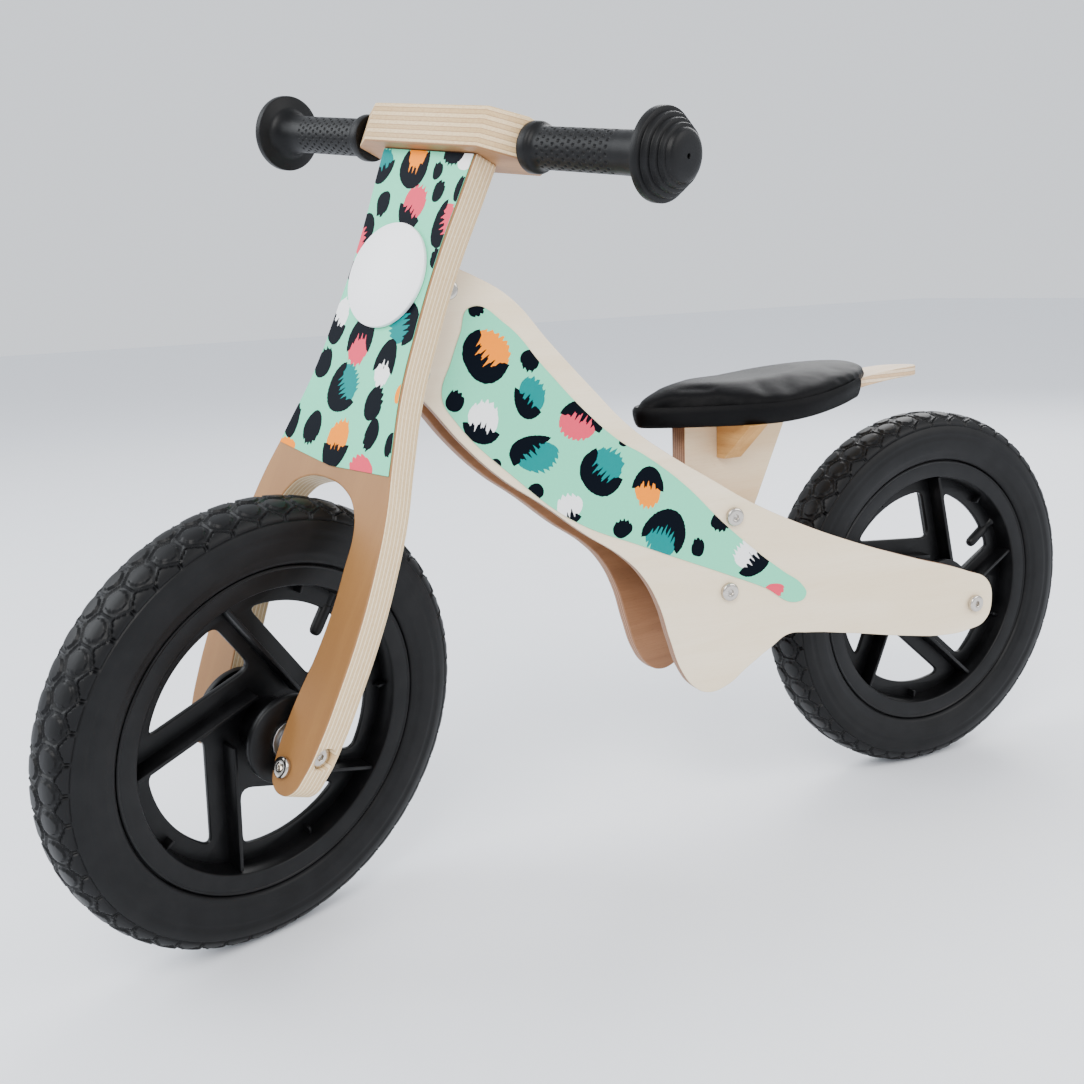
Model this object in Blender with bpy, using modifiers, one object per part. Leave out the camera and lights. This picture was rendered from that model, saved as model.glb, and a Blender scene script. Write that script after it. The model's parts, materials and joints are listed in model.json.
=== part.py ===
"""Wooden balance bike: a ply fork board and two ply side panels on 12.5-inch wheels.

Bike frame: +X forward from the rear axle, +Y to the rider's left, +Z up from the ground.
Sizes below are in millimetres and become metres where geometry is made.
Steering frame: x is the distance ahead of the steering axis, y to the left, z up the axis.
Panel frame: x runs along the board from the rear axle, y out through its face, z up.
"""

import math

import bmesh
import bpy
from mathutils import Matrix, Vector

MM = 0.001
GAP = 0.3

# Wheels
WHEEL_R = 152.5
WHEELBASE = 582.0
HUB_HALF = 31.0
HUB_R = 19.0
HUB_DISC_R = 30.0
SPOKES = 5
SPOKE_OFFSET = 30.0
REAR_PHASE = 5.0
FRONT_PHASE = -41.5
VALVE_ANGLE = 145.0
AXLE_R = 5.0
BEARING_R = 13.0
BEARING_WIDTH = 8.0

# Steering
HEAD_TILT = 22.6
AXLE_LEAD = 26.0
STEER_REST = 20.0
ROD_R = 4.0
ROD_HOLE_R = 4.45
HEAD_BOTTOM = 236.0
HEAD_TOP = 320.0
HEAD_FRONT = 5.0
HEAD_BACK = -40.0
LUG_HALF = 12.0
LUG_THICK = 4.0
LUG_REACH = 4.0
FOOT_LENGTH = 24.0

# Fork board and handlebar
FORK_THICK = 20.0
FORK_TOP = 387.7
LEG_INNER = 33.0
LEG_BOLT_Y = 45.0
LEG_BOLT_Z = -14.0
BADGE_R = 35.0
BADGE_Z = 303.0
BADGE_THICK = 3.0
BAR_R = 8.5
BAR_X = 22.0
BAR_Z = 399.0
BAR_HALF = 190.0
BLOCK_BOTTOM = 388.0
BLOCK_TOP = 414.5

# Side panels: flat boards set in a V, closest at the head
PANEL_THICK = 9.0
PANEL_Y = 64.6
PANEL_ANGLE = 5.94
FILM = 0.4
POST_BOLTS = ((225.0, 250.0), (230.0, 193.0))

# Seat
POST_HALF = 9.0
SPACER_R = 10.0
PLANK_THICK = 8.0
PLANK_BOTTOM = 318.0
PLANK_RISE = 20.0
RISE_STATIONS = tuple(200.0 - 21.875 * step for step in range(9))
CUSHION_BOTTOM = 319.5
CUSHION_NOSE = 284.0
CUSHION_REAR = 70.0
CUSHION_HALF = 58.0
CUSHION_THICK = 26.5
GUSSET_X = 208.0
GUSSET_THICK = 16.0
SEAT_SCREWS = {"front": 228.0, "rear": 170.0}

CURVE_STEPS = 2


def clear_scene():
    for obj in list(bpy.data.objects):
        bpy.data.objects.remove(obj, do_unlink=True)


def new_collection(name):
    collection = bpy.data.collections.new(name)
    bpy.context.scene.collection.children.link(collection)
    return collection


def shift(x, y, z):
    return Matrix.Translation(Vector((x, y, z)) * MM)


def turn(degrees, axis):
    return Matrix.Rotation(math.radians(degrees), 4, axis)


def new_material(name, colour, roughness, metallic=0.0):
    material = bpy.data.materials.new(name)
    material.use_nodes = True
    shader = material.node_tree.nodes["Principled BSDF"]
    shader.inputs["Base Color"].default_value = (*colour, 1.0)
    shader.inputs["Roughness"].default_value = roughness
    shader.inputs["Metallic"].default_value = metallic
    material.diffuse_color = (*colour, 1.0)
    return material


PARTS = "balance_bike"
CUTTERS = "cutters"
SIDES = {1: "left", -1: "right"}

BIRCH = ((0.80, 0.70, 0.56), 0.55, 0.0)
KRAFT = ((0.56, 0.37, 0.22), 0.60, 0.0)
PINE = ((0.74, 0.55, 0.34), 0.60, 0.0)
STEEL = ((0.72, 0.71, 0.69), 0.25, 1.0)
ZINC = ((0.60, 0.60, 0.60), 0.35, 1.0)
BLACK_PLASTIC = ((0.03, 0.03, 0.03), 0.45, 0.0)
RUBBER = ((0.02, 0.02, 0.02), 0.75, 0.0)
LEATHERETTE = ((0.02, 0.02, 0.02), 0.45, 0.0)
MINT_FILM = ((0.40, 0.77, 0.62), 0.40, 0.0)
WHITE_PLASTIC = ((0.90, 0.90, 0.88), 0.35, 0.0)
NYLON = ((0.85, 0.84, 0.78), 0.50, 0.0)


def add_node(name, mesh, parent, matrix, look):
    """A named sub-part with its own material, placed in its parent's frame."""
    mesh.name = name
    mesh.shade_smooth()
    mesh.set_sharp_from_angle(angle=math.radians(30))
    mesh.materials.clear()
    mesh.materials.append(new_material(name, *look))
    obj = bpy.data.objects.new(name, mesh)
    obj.parent = parent
    obj.matrix_basis = matrix
    bpy.data.collections[PARTS].objects.link(obj)
    return obj


def add_copies(name, mesh, parent, places, look):
    """Equal pieces, each its own node: places maps a word such as left to a matrix."""
    for word, matrix in places.items():
        add_node(f"{word}_{name}", mesh.copy(), parent, matrix, look)


def add_empty(name, parent, matrix):
    empty = bpy.data.objects.new(name, None)
    empty.empty_display_size = 0.03
    empty.parent = parent
    empty.matrix_basis = matrix
    bpy.data.collections[PARTS].objects.link(empty)
    return empty


def add_cutter(name, mesh, parent, matrix):
    cutter = bpy.data.objects.new(name, mesh)
    cutter.parent = parent
    cutter.matrix_basis = matrix
    cutter.hide_render = True
    cutter.display_type = "WIRE"
    bpy.data.collections[CUTTERS].objects.link(cutter)
    return cutter


def boolean(obj, other, operation="DIFFERENCE"):
    modifier = obj.modifiers.new(other.name, "BOOLEAN")
    modifier.operation = operation
    modifier.solver = "EXACT"
    modifier.object = other


def evaluated_mesh(obj):
    """The object's evaluated shape as a new welded mesh; the object is removed."""
    bpy.context.scene.collection.objects.link(obj)
    graph = bpy.context.evaluated_depsgraph_get()
    mesh = bpy.data.meshes.new_from_object(obj.evaluated_get(graph))
    bpy.data.objects.remove(obj, do_unlink=True)
    bm = bmesh.new()
    bm.from_mesh(mesh)
    bmesh.ops.remove_doubles(bm, verts=bm.verts, dist=1e-6)
    bmesh.ops.recalc_face_normals(bm, faces=bm.faces)
    bm.to_mesh(mesh)
    bm.free()
    return mesh


def add_circle_hole(curve, x, y, radius, sides=12):
    spline = curve.splines.new("POLY")
    spline.points.add(sides - 1)
    for index, point in enumerate(spline.points):
        angle = 2 * math.pi * index / sides
        point.co = ((x + radius * math.cos(angle)) * MM, (y + radius * math.sin(angle)) * MM, 0, 1)
    spline.use_cyclic_u = True


def add_outline(curve, knots):
    """A closed outline: a knot of two numbers is smooth, a third entry marks a sharp corner."""
    spline = curve.splines.new("BEZIER")
    spline.bezier_points.add(len(knots) - 1)
    for point, knot in zip(spline.bezier_points, knots):
        kind = "VECTOR" if len(knot) == 3 else "AUTO"
        point.co = (knot[0] * MM, knot[1] * MM, 0)
        point.handle_left_type = kind
        point.handle_right_type = kind
    spline.use_cyclic_u = True


def plate_mesh(knots, thickness, holes=(), windows=()):
    """A flat board, centred on its own XY plane: holes are (x, y, radius), windows are outlines."""
    curve = bpy.data.curves.new("outline", "CURVE")
    curve.dimensions = "2D"
    curve.fill_mode = "BOTH"
    curve.extrude = thickness * MM / 2
    curve.resolution_u = CURVE_STEPS
    add_outline(curve, knots)
    for window in windows:
        add_outline(curve, window)
    for hole in holes:
        add_circle_hole(curve, *hole)
    return evaluated_mesh(bpy.data.objects.new("outline", curve))


def turned_mesh(profile, steps):
    """A solid of revolution about Z. The profile of (radius, height) runs down its outer side."""
    count = len(profile)
    edges = [(index, index + 1) for index in range(count - 1)]
    if profile[0][0] > 0:
        edges.append((count - 1, 0))
    mesh = bpy.data.meshes.new("profile")
    mesh.from_pydata([(radius * MM, 0, height * MM) for radius, height in profile], edges, [])
    obj = bpy.data.objects.new("profile", mesh)
    screw = obj.modifiers.new("Turn", "SCREW")
    screw.steps = steps
    screw.render_steps = steps
    screw.use_merge_vertices = True
    screw.merge_threshold = 0.00001
    return evaluated_mesh(obj)


def rod_mesh(radius, bottom, top, steps=12):
    return turned_mesh([(0, top), (radius, top), (radius, bottom), (0, bottom)], steps)


def ring_mesh(outer, inner, bottom, top, steps=16):
    return turned_mesh([(outer, top), (outer, bottom), (inner, bottom), (inner, top)], steps)


def box_mesh(x_range, y_range, z_range):
    bm = bmesh.new()
    size = [high - low for low, high in (x_range, y_range, z_range)]
    middle = [(high + low) / 2 for low, high in (x_range, y_range, z_range)]
    scale = Matrix.Diagonal((*[side * MM for side in size], 1))
    bmesh.ops.create_cube(bm, size=1, matrix=shift(*middle) @ scale)
    mesh = bpy.data.meshes.new("box")
    bm.to_mesh(mesh)
    bm.free()
    return mesh


def group_mesh(pieces):
    """One mesh of separate solids, from (mesh, matrix) pairs."""
    bm = bmesh.new()
    for mesh, matrix in pieces:
        copy = mesh.copy()
        copy.transform(matrix)
        bm.from_mesh(copy)
        bpy.data.meshes.remove(copy)
    joined = bpy.data.meshes.new("group")
    bm.to_mesh(joined)
    bm.free()
    return joined


def trim_mesh(mesh, point, normal):
    """Cuts away what lies beyond the plane and closes the cut."""
    bm = bmesh.new()
    bm.from_mesh(mesh)
    geometry = bm.verts[:] + bm.edges[:] + bm.faces[:]
    result = bmesh.ops.bisect_plane(bm, geom=geometry, plane_co=point, plane_no=normal, clear_outer=True)
    rim = [item for item in result["geom_cut"] if isinstance(item, bmesh.types.BMEdge)]
    bmesh.ops.triangle_fill(bm, edges=rim, use_beauty=True)
    bmesh.ops.recalc_face_normals(bm, faces=bm.faces)
    bm.to_mesh(mesh)
    bm.free()


def bolt_mesh(head_r, head_height, shank_r, length, socket_r, steps=8):
    """Button-head bolt, its head's seat at the origin and its shank down -Z."""
    profile = [
        (0, head_height * 0.45),
        (socket_r, head_height * 0.45),
        (socket_r, head_height),
        (head_r * 0.62, head_height),
        (head_r, head_height * 0.4),
        (head_r, 0),
        (shank_r, 0),
        (shank_r, -length),
        (0, -length),
    ]
    return turned_mesh(profile, steps)


def screw_mesh(head_r, head_height, shank_r, length, steps=8):
    """Countersunk wood screw with its flat head's top at the origin."""
    profile = [
        (0, 0),
        (head_r, 0),
        (shank_r, -head_height),
        (shank_r, -length + 4),
        (0, -length),
    ]
    return turned_mesh(profile, steps)


def screw_hole_mesh(head_r, head_height, shank_r, length, steps=8):
    """Clearance for screw_mesh: open above, a blind pilot hole below."""
    profile = [
        (0, 2),
        (head_r + GAP, 2),
        (head_r + GAP, -GAP),
        (shank_r + GAP, -head_height - GAP),
        (shank_r + GAP, -length - GAP),
        (0, -length - GAP),
    ]
    return turned_mesh(profile, steps)


def mirrored(half):
    """A closed symmetric outline from its +X half, listed from the top middle round to the bottom."""
    other = [(-knot[0], *knot[1:]) for knot in reversed(half) if knot[0] > 0]
    return half + other


# Frames of reference

FLAT_TO_BOARD = turn(90, "Z") @ turn(90, "X")
FLAT_TO_SIDE = turn(90, "X")
POINT_FORWARD = turn(90, "Y")
POINT_BACK = turn(-90, "Y")
AXLE_HEIGHT = WHEEL_R


def head_matrix():
    """Steering axis level with the front axle: x ahead of the axis, z up along it."""
    tilt = math.radians(HEAD_TILT)
    x = WHEELBASE - AXLE_LEAD * math.cos(tilt)
    z = AXLE_HEIGHT - AXLE_LEAD * math.sin(tilt)
    return shift(x, 0, z) @ turn(-HEAD_TILT, "Y")


def panel_matrix(side):
    """A side panel's outer face: side is 1 on the left and -1 on the right."""
    return shift(0, side * PANEL_Y, 0) @ turn(-side * PANEL_ANGLE, "Z")


def outward(side):
    """Turns +Z out of a panel's or a hub's face."""
    return turn(-side * 90, "X")


def panel_point(ahead, along):
    """Panel-frame x and z of a place given in the steering frame."""
    spot = head_matrix() @ (Vector((ahead, 0, along)) * MM)
    return spot.x / MM / math.cos(math.radians(PANEL_ANGLE)), spot.z / MM


def panel_frame_spot(x, z):
    """Bike-frame place on the centre plane level with a panel's inner face at x, z."""
    angle = math.radians(PANEL_ANGLE)
    inner = x * math.cos(angle) - PANEL_THICK * math.sin(angle)
    return shift(inner, 0, z)


def inner_face(side, clearance):
    """Point and outward normal, in the bike frame, of a panel's inner face."""
    frame = panel_matrix(side)
    point = frame @ (Vector((0, -side * (PANEL_THICK + clearance), 0)) * MM)
    normal = frame.to_3x3() @ Vector((0, side, 0))
    return point, normal


HEAD_BOLTS = (panel_point(-4, 308), panel_point(-4, 250))


# Side panels, head and seat post

def panel_outline():
    head = [
        (*panel_point(HEAD_FRONT, 323), "corner"),
        panel_point(-17, 323),
    ]
    top = [(394, 418), (367, 387), (338, 355), (308, 324), (277, 301), (245, 281), (211, 260)]
    stay = [(169, 239), (113, 216), (61, 198), (6, 180)]
    dropout = [(-14, 170), (-19, 152), (-13, 136), (4, 130)]
    under = [(30, 129), (67, 134), (120, 144), (160, 150.5), (178, 151.5)]
    belly = [(192, 144), (215, 130), (232, 119), (248, 116), (260, 122), (271, 137), (280, 162)]
    rise = [(289, 191), (301, 213), (316, 229), (347, 251), (376, 274), (405, 295), (432, 321)]
    chin = [(454, 348), panel_point(-7, 237), panel_point(2.5, 243), panel_point(HEAD_FRONT, 254)]
    return head + top + stay + dropout + under + belly + rise + chin


def sticker_outline():
    top = [(423, 413), (399, 401), (372, 370), (343, 338), (316, 314), (298, 303), (267, 279), (234, 246)]
    tail = [(201, 217), (183, 203), (165, 189), (162, 182), (168, 177)]
    under = [(201, 193), (235, 208), (300, 236), (354, 261), (397, 296), (438, 339)]
    nose = [(446, 355), (438, 379), (431, 396)]
    return top + tail + under + nose


def add_panels(bike):
    holes = [(0, AXLE_HEIGHT, 4.6)]
    holes += [(x, z, 3.4) for x, z in POST_BOLTS]
    holes += [(x, z, 2.9) for x, z in HEAD_BOLTS]
    for side, name in SIDES.items():
        frame = panel_matrix(side)
        board = plate_mesh(panel_outline(), PANEL_THICK, holes)
        middle = shift(0, -side * PANEL_THICK / 2, 0) @ FLAT_TO_SIDE
        add_node(f"{name}_side_panel", board, bike, frame @ middle, BIRCH)
        film = plate_mesh(sticker_outline(), FILM)
        skin = shift(0, side * (GAP + FILM / 2), 0) @ FLAT_TO_SIDE
        add_node(f"{name}_side_sticker", film, bike, frame @ skin, MINT_FILM)


def panel_places(spots, lift):
    """Matrices pointing out of both panels at an upper and a lower spot, lift above the outer face."""
    places = {}
    for side, name in SIDES.items():
        for (x, z), level in zip(spots, ("upper", "lower")):
            spot = shift(x, side * lift, z) @ outward(side)
            places[f"{name}_{level}"] = panel_matrix(side) @ spot
    return places


def panel_holes(name, mesh, spots, bike):
    """A cutter with a copy of the mesh at each spot on both panels."""
    places = panel_places(spots, 0)
    return add_cutter(name, group_mesh([(mesh, place) for place in places.values()]), bike, Matrix())


def add_head(bike):
    head = head_matrix()
    mesh = box_mesh((HEAD_BACK, HEAD_FRONT), (-25, 25), (HEAD_BOTTOM, HEAD_TOP))
    for side in (1, -1):
        point, normal = inner_face(side, GAP)
        trim_mesh(mesh, head.inverted() @ point, head.to_3x3().inverted() @ normal)
    block = add_node("head_block", mesh, bike, head, BIRCH)
    rod_hole = rod_mesh(ROD_HOLE_R, HEAD_BOTTOM - 5, HEAD_TOP + 5, 16)
    boolean(block, add_cutter("head_rod_hole", rod_hole, bike, head))
    threads = rod_mesh(2.9, -PANEL_THICK - 4.9, 0)
    boolean(block, panel_holes("head_bolt_threads", threads, HEAD_BOLTS, bike))
    bolt = bolt_mesh(7, 4, 2.5, 13.5, 2.6)
    add_copies("head_bolt", bolt, bike, panel_places(HEAD_BOLTS, GAP), STEEL)


def add_seat_post(bike, screw_holes):
    front = 244.5
    top = PLANK_BOTTOM - GAP
    bottom = 172.0
    rear_top = 146.6
    knee = (180.9, 247.0)
    lean = 0.497
    rising = [(x, top + plank_rise(x), "corner") for x in (*RISE_STATIONS[:3], rear_top)]
    outline = [
        (front, top, "corner"),
        *rising,
        (*knee, "corner"),
        (knee[0] + lean * (knee[1] - bottom), bottom, "corner"),
        (front, bottom, "corner"),
    ]
    post = add_node("seat_post", plate_mesh(outline, 2 * POST_HALF), bike, FLAT_TO_SIDE, BIRCH)
    boolean(post, screw_holes)
    add_cross_spacers(bike, post)
    bolt = bolt_mesh(7, 4, 3, PANEL_THICK + 13, 2.8)
    add_copies("seat_post_bolt", bolt, bike, panel_places(POST_BOLTS, GAP), STEEL)


def add_cross_spacers(bike, post):
    """Round wooden bars through the post, cut to the panels' angle, that take the bolts' threads."""
    threads = panel_holes("cross_spacer_threads", rod_mesh(3.4, -PANEL_THICK - 15, 0), POST_BOLTS, bike)
    for (x, z), level in zip(POST_BOLTS, ("upper", "lower")):
        place = panel_frame_spot(x, z) @ outward(1)
        bar = rod_mesh(SPACER_R, -PANEL_Y, PANEL_Y, 16)
        for side in SIDES:
            point, normal = inner_face(side, GAP)
            trim_mesh(bar, place.inverted() @ point, place.to_3x3().inverted() @ normal)
        spacer = add_node(f"{level}_cross_spacer", bar, bike, place, PINE)
        boolean(spacer, threads)
        hole = rod_mesh(SPACER_R + GAP + 0.1, -20, 20, 16)
        boolean(post, add_cutter(f"{level}_spacer_hole", hole, bike, place))


# Seat

def plank_rise(x):
    """Height that the plank gains behind its flat part, in a gentle double bend, in millimetres."""
    share = (RISE_STATIONS[0] - x) / (RISE_STATIONS[0] - RISE_STATIONS[-1])
    share = min(1.0, max(0.0, share))
    return PLANK_RISE * share * share * (3 - 2 * share)


def cushion_half_width(x):
    """Half width of the pear-shaped cushion at x, in millimetres."""
    along = (x - CUSHION_REAR) / (CUSHION_NOSE - CUSHION_REAR)
    along = min(1.0, max(0.0, along))
    rear = math.sqrt(max(0.0, 1 - (1 - min(along / 0.45, 1.0)) ** 1.8))
    front = math.cos(math.pi / 2 * max(0.0, (along - 0.45) / 0.55)) ** 0.8
    nose = 18.0 * math.sqrt(max(0.0, 1 - max(0.0, (along - 0.86) / 0.14) ** 2))
    return max(CUSHION_HALF * rear * front, nose * (1 if along > 0.45 else 0))


def plank_outline(grow):
    tail = [(12, 0), (15, 8), (24, 14), (42, 17), (66, 18.5), (84, 20)]
    under = [(x, cushion_half_width(x) - 7) for x in (106, 130, 160, 190, 220, 248)]
    half = tail + under + [(269, 9), (276, 0)]
    grown = [(x + math.copysign(grow, x - 140), y + grow * (y > 0)) for x, y in half]
    return grown + [(x, -y) for x, y in reversed(grown[1:-1])]


def bent_plate_mesh(outline, bottom, top):
    mesh = plate_mesh(outline, top - bottom)
    bm = bmesh.new()
    bm.from_mesh(mesh)
    for station in RISE_STATIONS:
        geometry = bm.verts[:] + bm.edges[:] + bm.faces[:]
        bmesh.ops.bisect_plane(bm, geom=geometry, plane_co=(station * MM, 0, 0), plane_no=(1, 0, 0))
    for vert in bm.verts:
        vert.co.z += ((bottom + top) / 2 + plank_rise(vert.co.x / MM)) * MM
    bm.to_mesh(mesh)
    bm.free()
    return mesh


def add_plank(bike, screw_holes):
    mesh = bent_plate_mesh(plank_outline(0), PLANK_BOTTOM, PLANK_BOTTOM + PLANK_THICK)
    plank = add_node("seat_plank", mesh, bike, Matrix(), BIRCH)
    boolean(plank, screw_holes)


def add_cushion(bike):
    """A pillow with the pear outline, hollowed below so that its rim covers the plank's edge."""
    bm = bmesh.new()
    bmesh.ops.create_uvsphere(bm, u_segments=28, v_segments=12, radius=1)
    middle = (CUSHION_NOSE + CUSHION_REAR) / 2
    half_length = (CUSHION_NOSE - CUSHION_REAR) / 2
    for vert in bm.verts:
        reach = math.hypot(vert.co.x, vert.co.y)
        spread = reach ** (0.45 if vert.co.z > 0 else 0.2)
        side = vert.co.y / reach if reach > 1e-6 else 0.0
        ahead = vert.co.x / reach if reach > 1e-6 else 0.0
        x = middle + half_length * ahead * spread
        edge = middle + half_length * ahead
        y = math.copysign(cushion_half_width(edge), side) * spread if abs(side) > 1e-6 else 0.0
        lift = CUSHION_THICK * (vert.co.z + 1) / 2
        vert.co = Vector((x, y, CUSHION_BOTTOM + plank_rise(x) + lift)) * MM
    mesh = bpy.data.meshes.new("cushion")
    bm.to_mesh(mesh)
    bm.free()
    cushion = add_node("saddle_cushion", mesh, bike, Matrix(), LEATHERETTE)
    recess = bent_plate_mesh(plank_outline(0.5), PLANK_BOTTOM - 20, PLANK_BOTTOM + PLANK_THICK + GAP)
    boolean(cushion, add_cutter("plank_recess", recess, bike, Matrix()))


def add_gussets(bike):
    """Tapered corner blocks glued under the plank, one against each face of the post."""
    top = PLANK_BOTTOM - GAP
    for side, name in SIDES.items():
        near = POST_HALF + GAP
        outline = [
            (side * near, top, "corner"),
            (side * (near + 43), top, "corner"),
            (side * (near + 9), top - 28, "corner"),
            (side * near, top - 28, "corner"),
        ]
        mesh = plate_mesh(outline, GUSSET_THICK)
        add_node(f"{name}_seat_gusset", mesh, bike, shift(GUSSET_X, 0, 0) @ FLAT_TO_BOARD, PINE)


def add_seat(bike):
    top = PLANK_BOTTOM + PLANK_THICK
    size = (4, 2.6, 2, 24)
    spots = {word: shift(x, 0, top - 0.2 + plank_rise(x)) for word, x in SEAT_SCREWS.items()}
    holes = group_mesh([(screw_hole_mesh(*size), spot) for spot in spots.values()])
    screw_holes = add_cutter("seat_screw_holes", holes, bike, Matrix())
    add_copies("seat_screw", screw_mesh(*size), bike, spots, ZINC)
    add_plank(bike, screw_holes)
    add_gussets(bike)
    add_seat_post(bike, screw_holes)
    add_cushion(bike)


# Axles

def add_rear_axle(bike):
    centre = shift(0, 0, AXLE_HEIGHT)
    half = PANEL_Y - PANEL_THICK - 1.4
    axle = add_node("rear_axle", rod_mesh(AXLE_R, -half, half), bike, centre @ outward(1), ZINC)
    tapped = rod_mesh(3.0, half - 14, half + 5, 10)
    seat = PANEL_Y + 7 * math.tan(math.radians(PANEL_ANGLE)) + GAP
    holes = []
    bolts = {}
    for side, name in SIDES.items():
        place = centre @ outward(side)
        holes.append((tapped, place))
        bolts[name] = centre @ shift(0, side * seat, 0) @ outward(side)
        sleeve = ring_mesh(9, AXLE_R + 0.4, HUB_HALF + GAP, PANEL_Y, 14)
        point, normal = inner_face(side, GAP)
        trim_mesh(sleeve, place.inverted() @ point, place.to_3x3().inverted() @ normal)
        add_node(f"{name}_rear_axle_sleeve", sleeve, bike, place, ZINC)
    boolean(axle, add_cutter("rear_axle_threads", group_mesh(holes), bike, Matrix()))
    add_copies("rear_axle_bolt", bolt_mesh(7, 4, 2.6, seat - half + 12, 2.8), bike, bolts, STEEL)


def add_front_axle(steering):
    centre = shift(AXLE_LEAD, 0, 0)
    half = 48.0
    seat = 60.3
    axle = add_node("front_axle", rod_mesh(AXLE_R, -half, half), steering, centre @ outward(1), ZINC)
    ends = {name: centre @ outward(side) for side, name in SIDES.items()}
    tapped = rod_mesh(3.0, half - 14, half + 5, 10)
    holes = group_mesh([(tapped, end) for end in ends.values()])
    boolean(axle, add_cutter("front_axle_threads", holes, steering, Matrix()))
    bolts = {name: end @ shift(0, 0, seat) for name, end in ends.items()}
    add_copies("front_axle_bolt", bolt_mesh(7, 4, 2.6, seat - half + 12, 2.8), steering, bolts, STEEL)
    washer = ring_mesh(9, AXLE_R + 0.4, HUB_HALF + GAP, LEG_INNER - GAP, 14)
    add_copies("front_axle_washer", washer, steering, ends, NYLON)


def leg_bore_mesh():
    """Axle seat in a fork leg, opened out for the bolt's shank and its recessed head."""
    profile = [
        (0, 90),
        (7.8, 90),
        (7.8, 60),
        (3.2, 60),
        (3.2, 48.4),
        (AXLE_R + 0.4, 48.4),
        (AXLE_R + 0.4, 25),
        (0, 25),
    ]
    return turned_mesh(profile, 14)


# Fork board, handlebar and steering hinge

def fork_outline():
    """Board outline in (y, z): the flared outer edge, the leg's round end, then the wheel arch."""
    outer = [(0, FORK_TOP, "corner"), (45, FORK_TOP, "corner")]
    waist = [(43.6, 366), (40.6, 320), (42, 270), (46, 230), (56, 190), (66, 154)]
    leg = [(71.5, 117), (73.6, 85), (72.3, 40), (70, 13), (65, -13), (59, -26), (49, -31)]
    seat = [(39, -28), (34.5, -18), (33.3, 0), (34.2, 16)]
    arch = [(36.5, 33), (40.5, 56), (43, 84), (42.2, 115), (40, 141)]
    crown = [(34, 153), (24, 161.5), (0, 166.5)]
    return mirrored(outer + waist + leg + seat + arch + crown)


def fork_sticker_outline():
    margin = 1.5
    half = [
        (0, FORK_TOP - 0.7, "corner"),
        (45 - margin, FORK_TOP - 0.7, "corner"),
        (43.6 - margin, 366),
        (40.6 - margin, 320),
        (42 - margin, 270),
        (46 - margin, 230),
        (56 - margin, 190),
        (58.5 - margin, 180, "corner"),
        (0, 175, "corner"),
    ]
    return mirrored(half)


def add_fork_board(steering):
    leg_bolts = [(side * LEG_BOLT_Y, LEG_BOLT_Z, 3.4) for side in (1, -1)]
    mesh = plate_mesh(fork_outline(), FORK_THICK, leg_bolts)
    board = add_node("fork_board", mesh, steering, shift(AXLE_LEAD, 0, 0) @ FLAT_TO_BOARD, KRAFT)
    bores = group_mesh([(leg_bore_mesh(), shift(AXLE_LEAD, 0, 0) @ outward(side)) for side in SIDES])
    boolean(board, add_cutter("leg_bores", bores, steering, Matrix()))
    face = AXLE_LEAD + FORK_THICK / 2
    bolts = {}
    for side, name in SIDES.items():
        bolts[name] = shift(face + GAP, side * LEG_BOLT_Y, LEG_BOLT_Z) @ POINT_FORWARD
    add_copies("fork_leg_bolt", bolt_mesh(7, 3.6, 3, 16, 2.8), steering, bolts, STEEL)
    film = shift(face + GAP + FILM / 2, 0, 0) @ FLAT_TO_BOARD
    add_node("fork_sticker", plate_mesh(fork_sticker_outline(), FILM), steering, film, MINT_FILM)
    disc = [(0, BADGE_THICK), (BADGE_R - 1, BADGE_THICK), (BADGE_R, BADGE_THICK - 1), (BADGE_R, 0), (0, 0)]
    spot = shift(face + FILM + 2 * GAP, 0, BADGE_Z) @ POINT_FORWARD
    add_node("name_badge", turned_mesh(disc, 32), steering, spot, WHITE_PLASTIC)
    return board


def add_handlebar(steering, board):
    front = AXLE_LEAD + 20.5
    back = AXLE_LEAD - 24
    half = [(front, 54, "corner"), (31.5, 76.5, "corner"), (10, 76.5), (5, 75), (back, 71, "corner")]
    outline = half + [(x, -y, *kind) for x, y, *kind in reversed(half)]
    thickness = BLOCK_TOP - BLOCK_BOTTOM
    level = shift(0, 0, (BLOCK_TOP + BLOCK_BOTTOM) / 2)
    block = add_node("handlebar_block", plate_mesh(outline, thickness), steering, level, KRAFT)
    bar_place = shift(BAR_X, 0, BAR_Z) @ outward(1)
    tunnel = rod_mesh(BAR_R + GAP, -90, 90, 20)
    boolean(block, add_cutter("bar_tunnel", tunnel, steering, bar_place))
    bar = add_node("handlebar_bar", rod_mesh(BAR_R, -BAR_HALF, BAR_HALF, 20), steering, bar_place, PINE)
    size = (4, 2.6, 2.2, 62)
    spot = shift(AXLE_LEAD, 0, BLOCK_TOP - 0.5)
    screw_hole = add_cutter("block_screw_hole", screw_hole_mesh(*size), steering, spot)
    for piece in (block, bar, board):
        boolean(piece, screw_hole)
    add_node("handlebar_screw", screw_mesh(*size), steering, spot, ZINC)


def add_grips(steering):
    """Moulded grips: a bell collar, a slim handle, then a mushroom end in steps."""
    bore = BAR_R + GAP
    cap = BAR_HALF + GAP
    profile = [
        (0, 197),
        (10, 197),
        (15, 194),
        (18, 189),
        (22, 185),
        (26.5, 181),
        (26.5, 176),
        (17.5, 174.5),
        (13.5, 167),
        (12.7, 155),
        (12.7, 96),
        (15.6, 85),
        (15.6, 77),
        (bore, 77),
        (bore, cap),
        (0, cap),
    ]
    for side, name in SIDES.items():
        place = shift(BAR_X, 0, BAR_Z) @ outward(side)
        add_node(f"{name}_grip", turned_mesh(profile, 20), steering, place, RUBBER)


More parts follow.
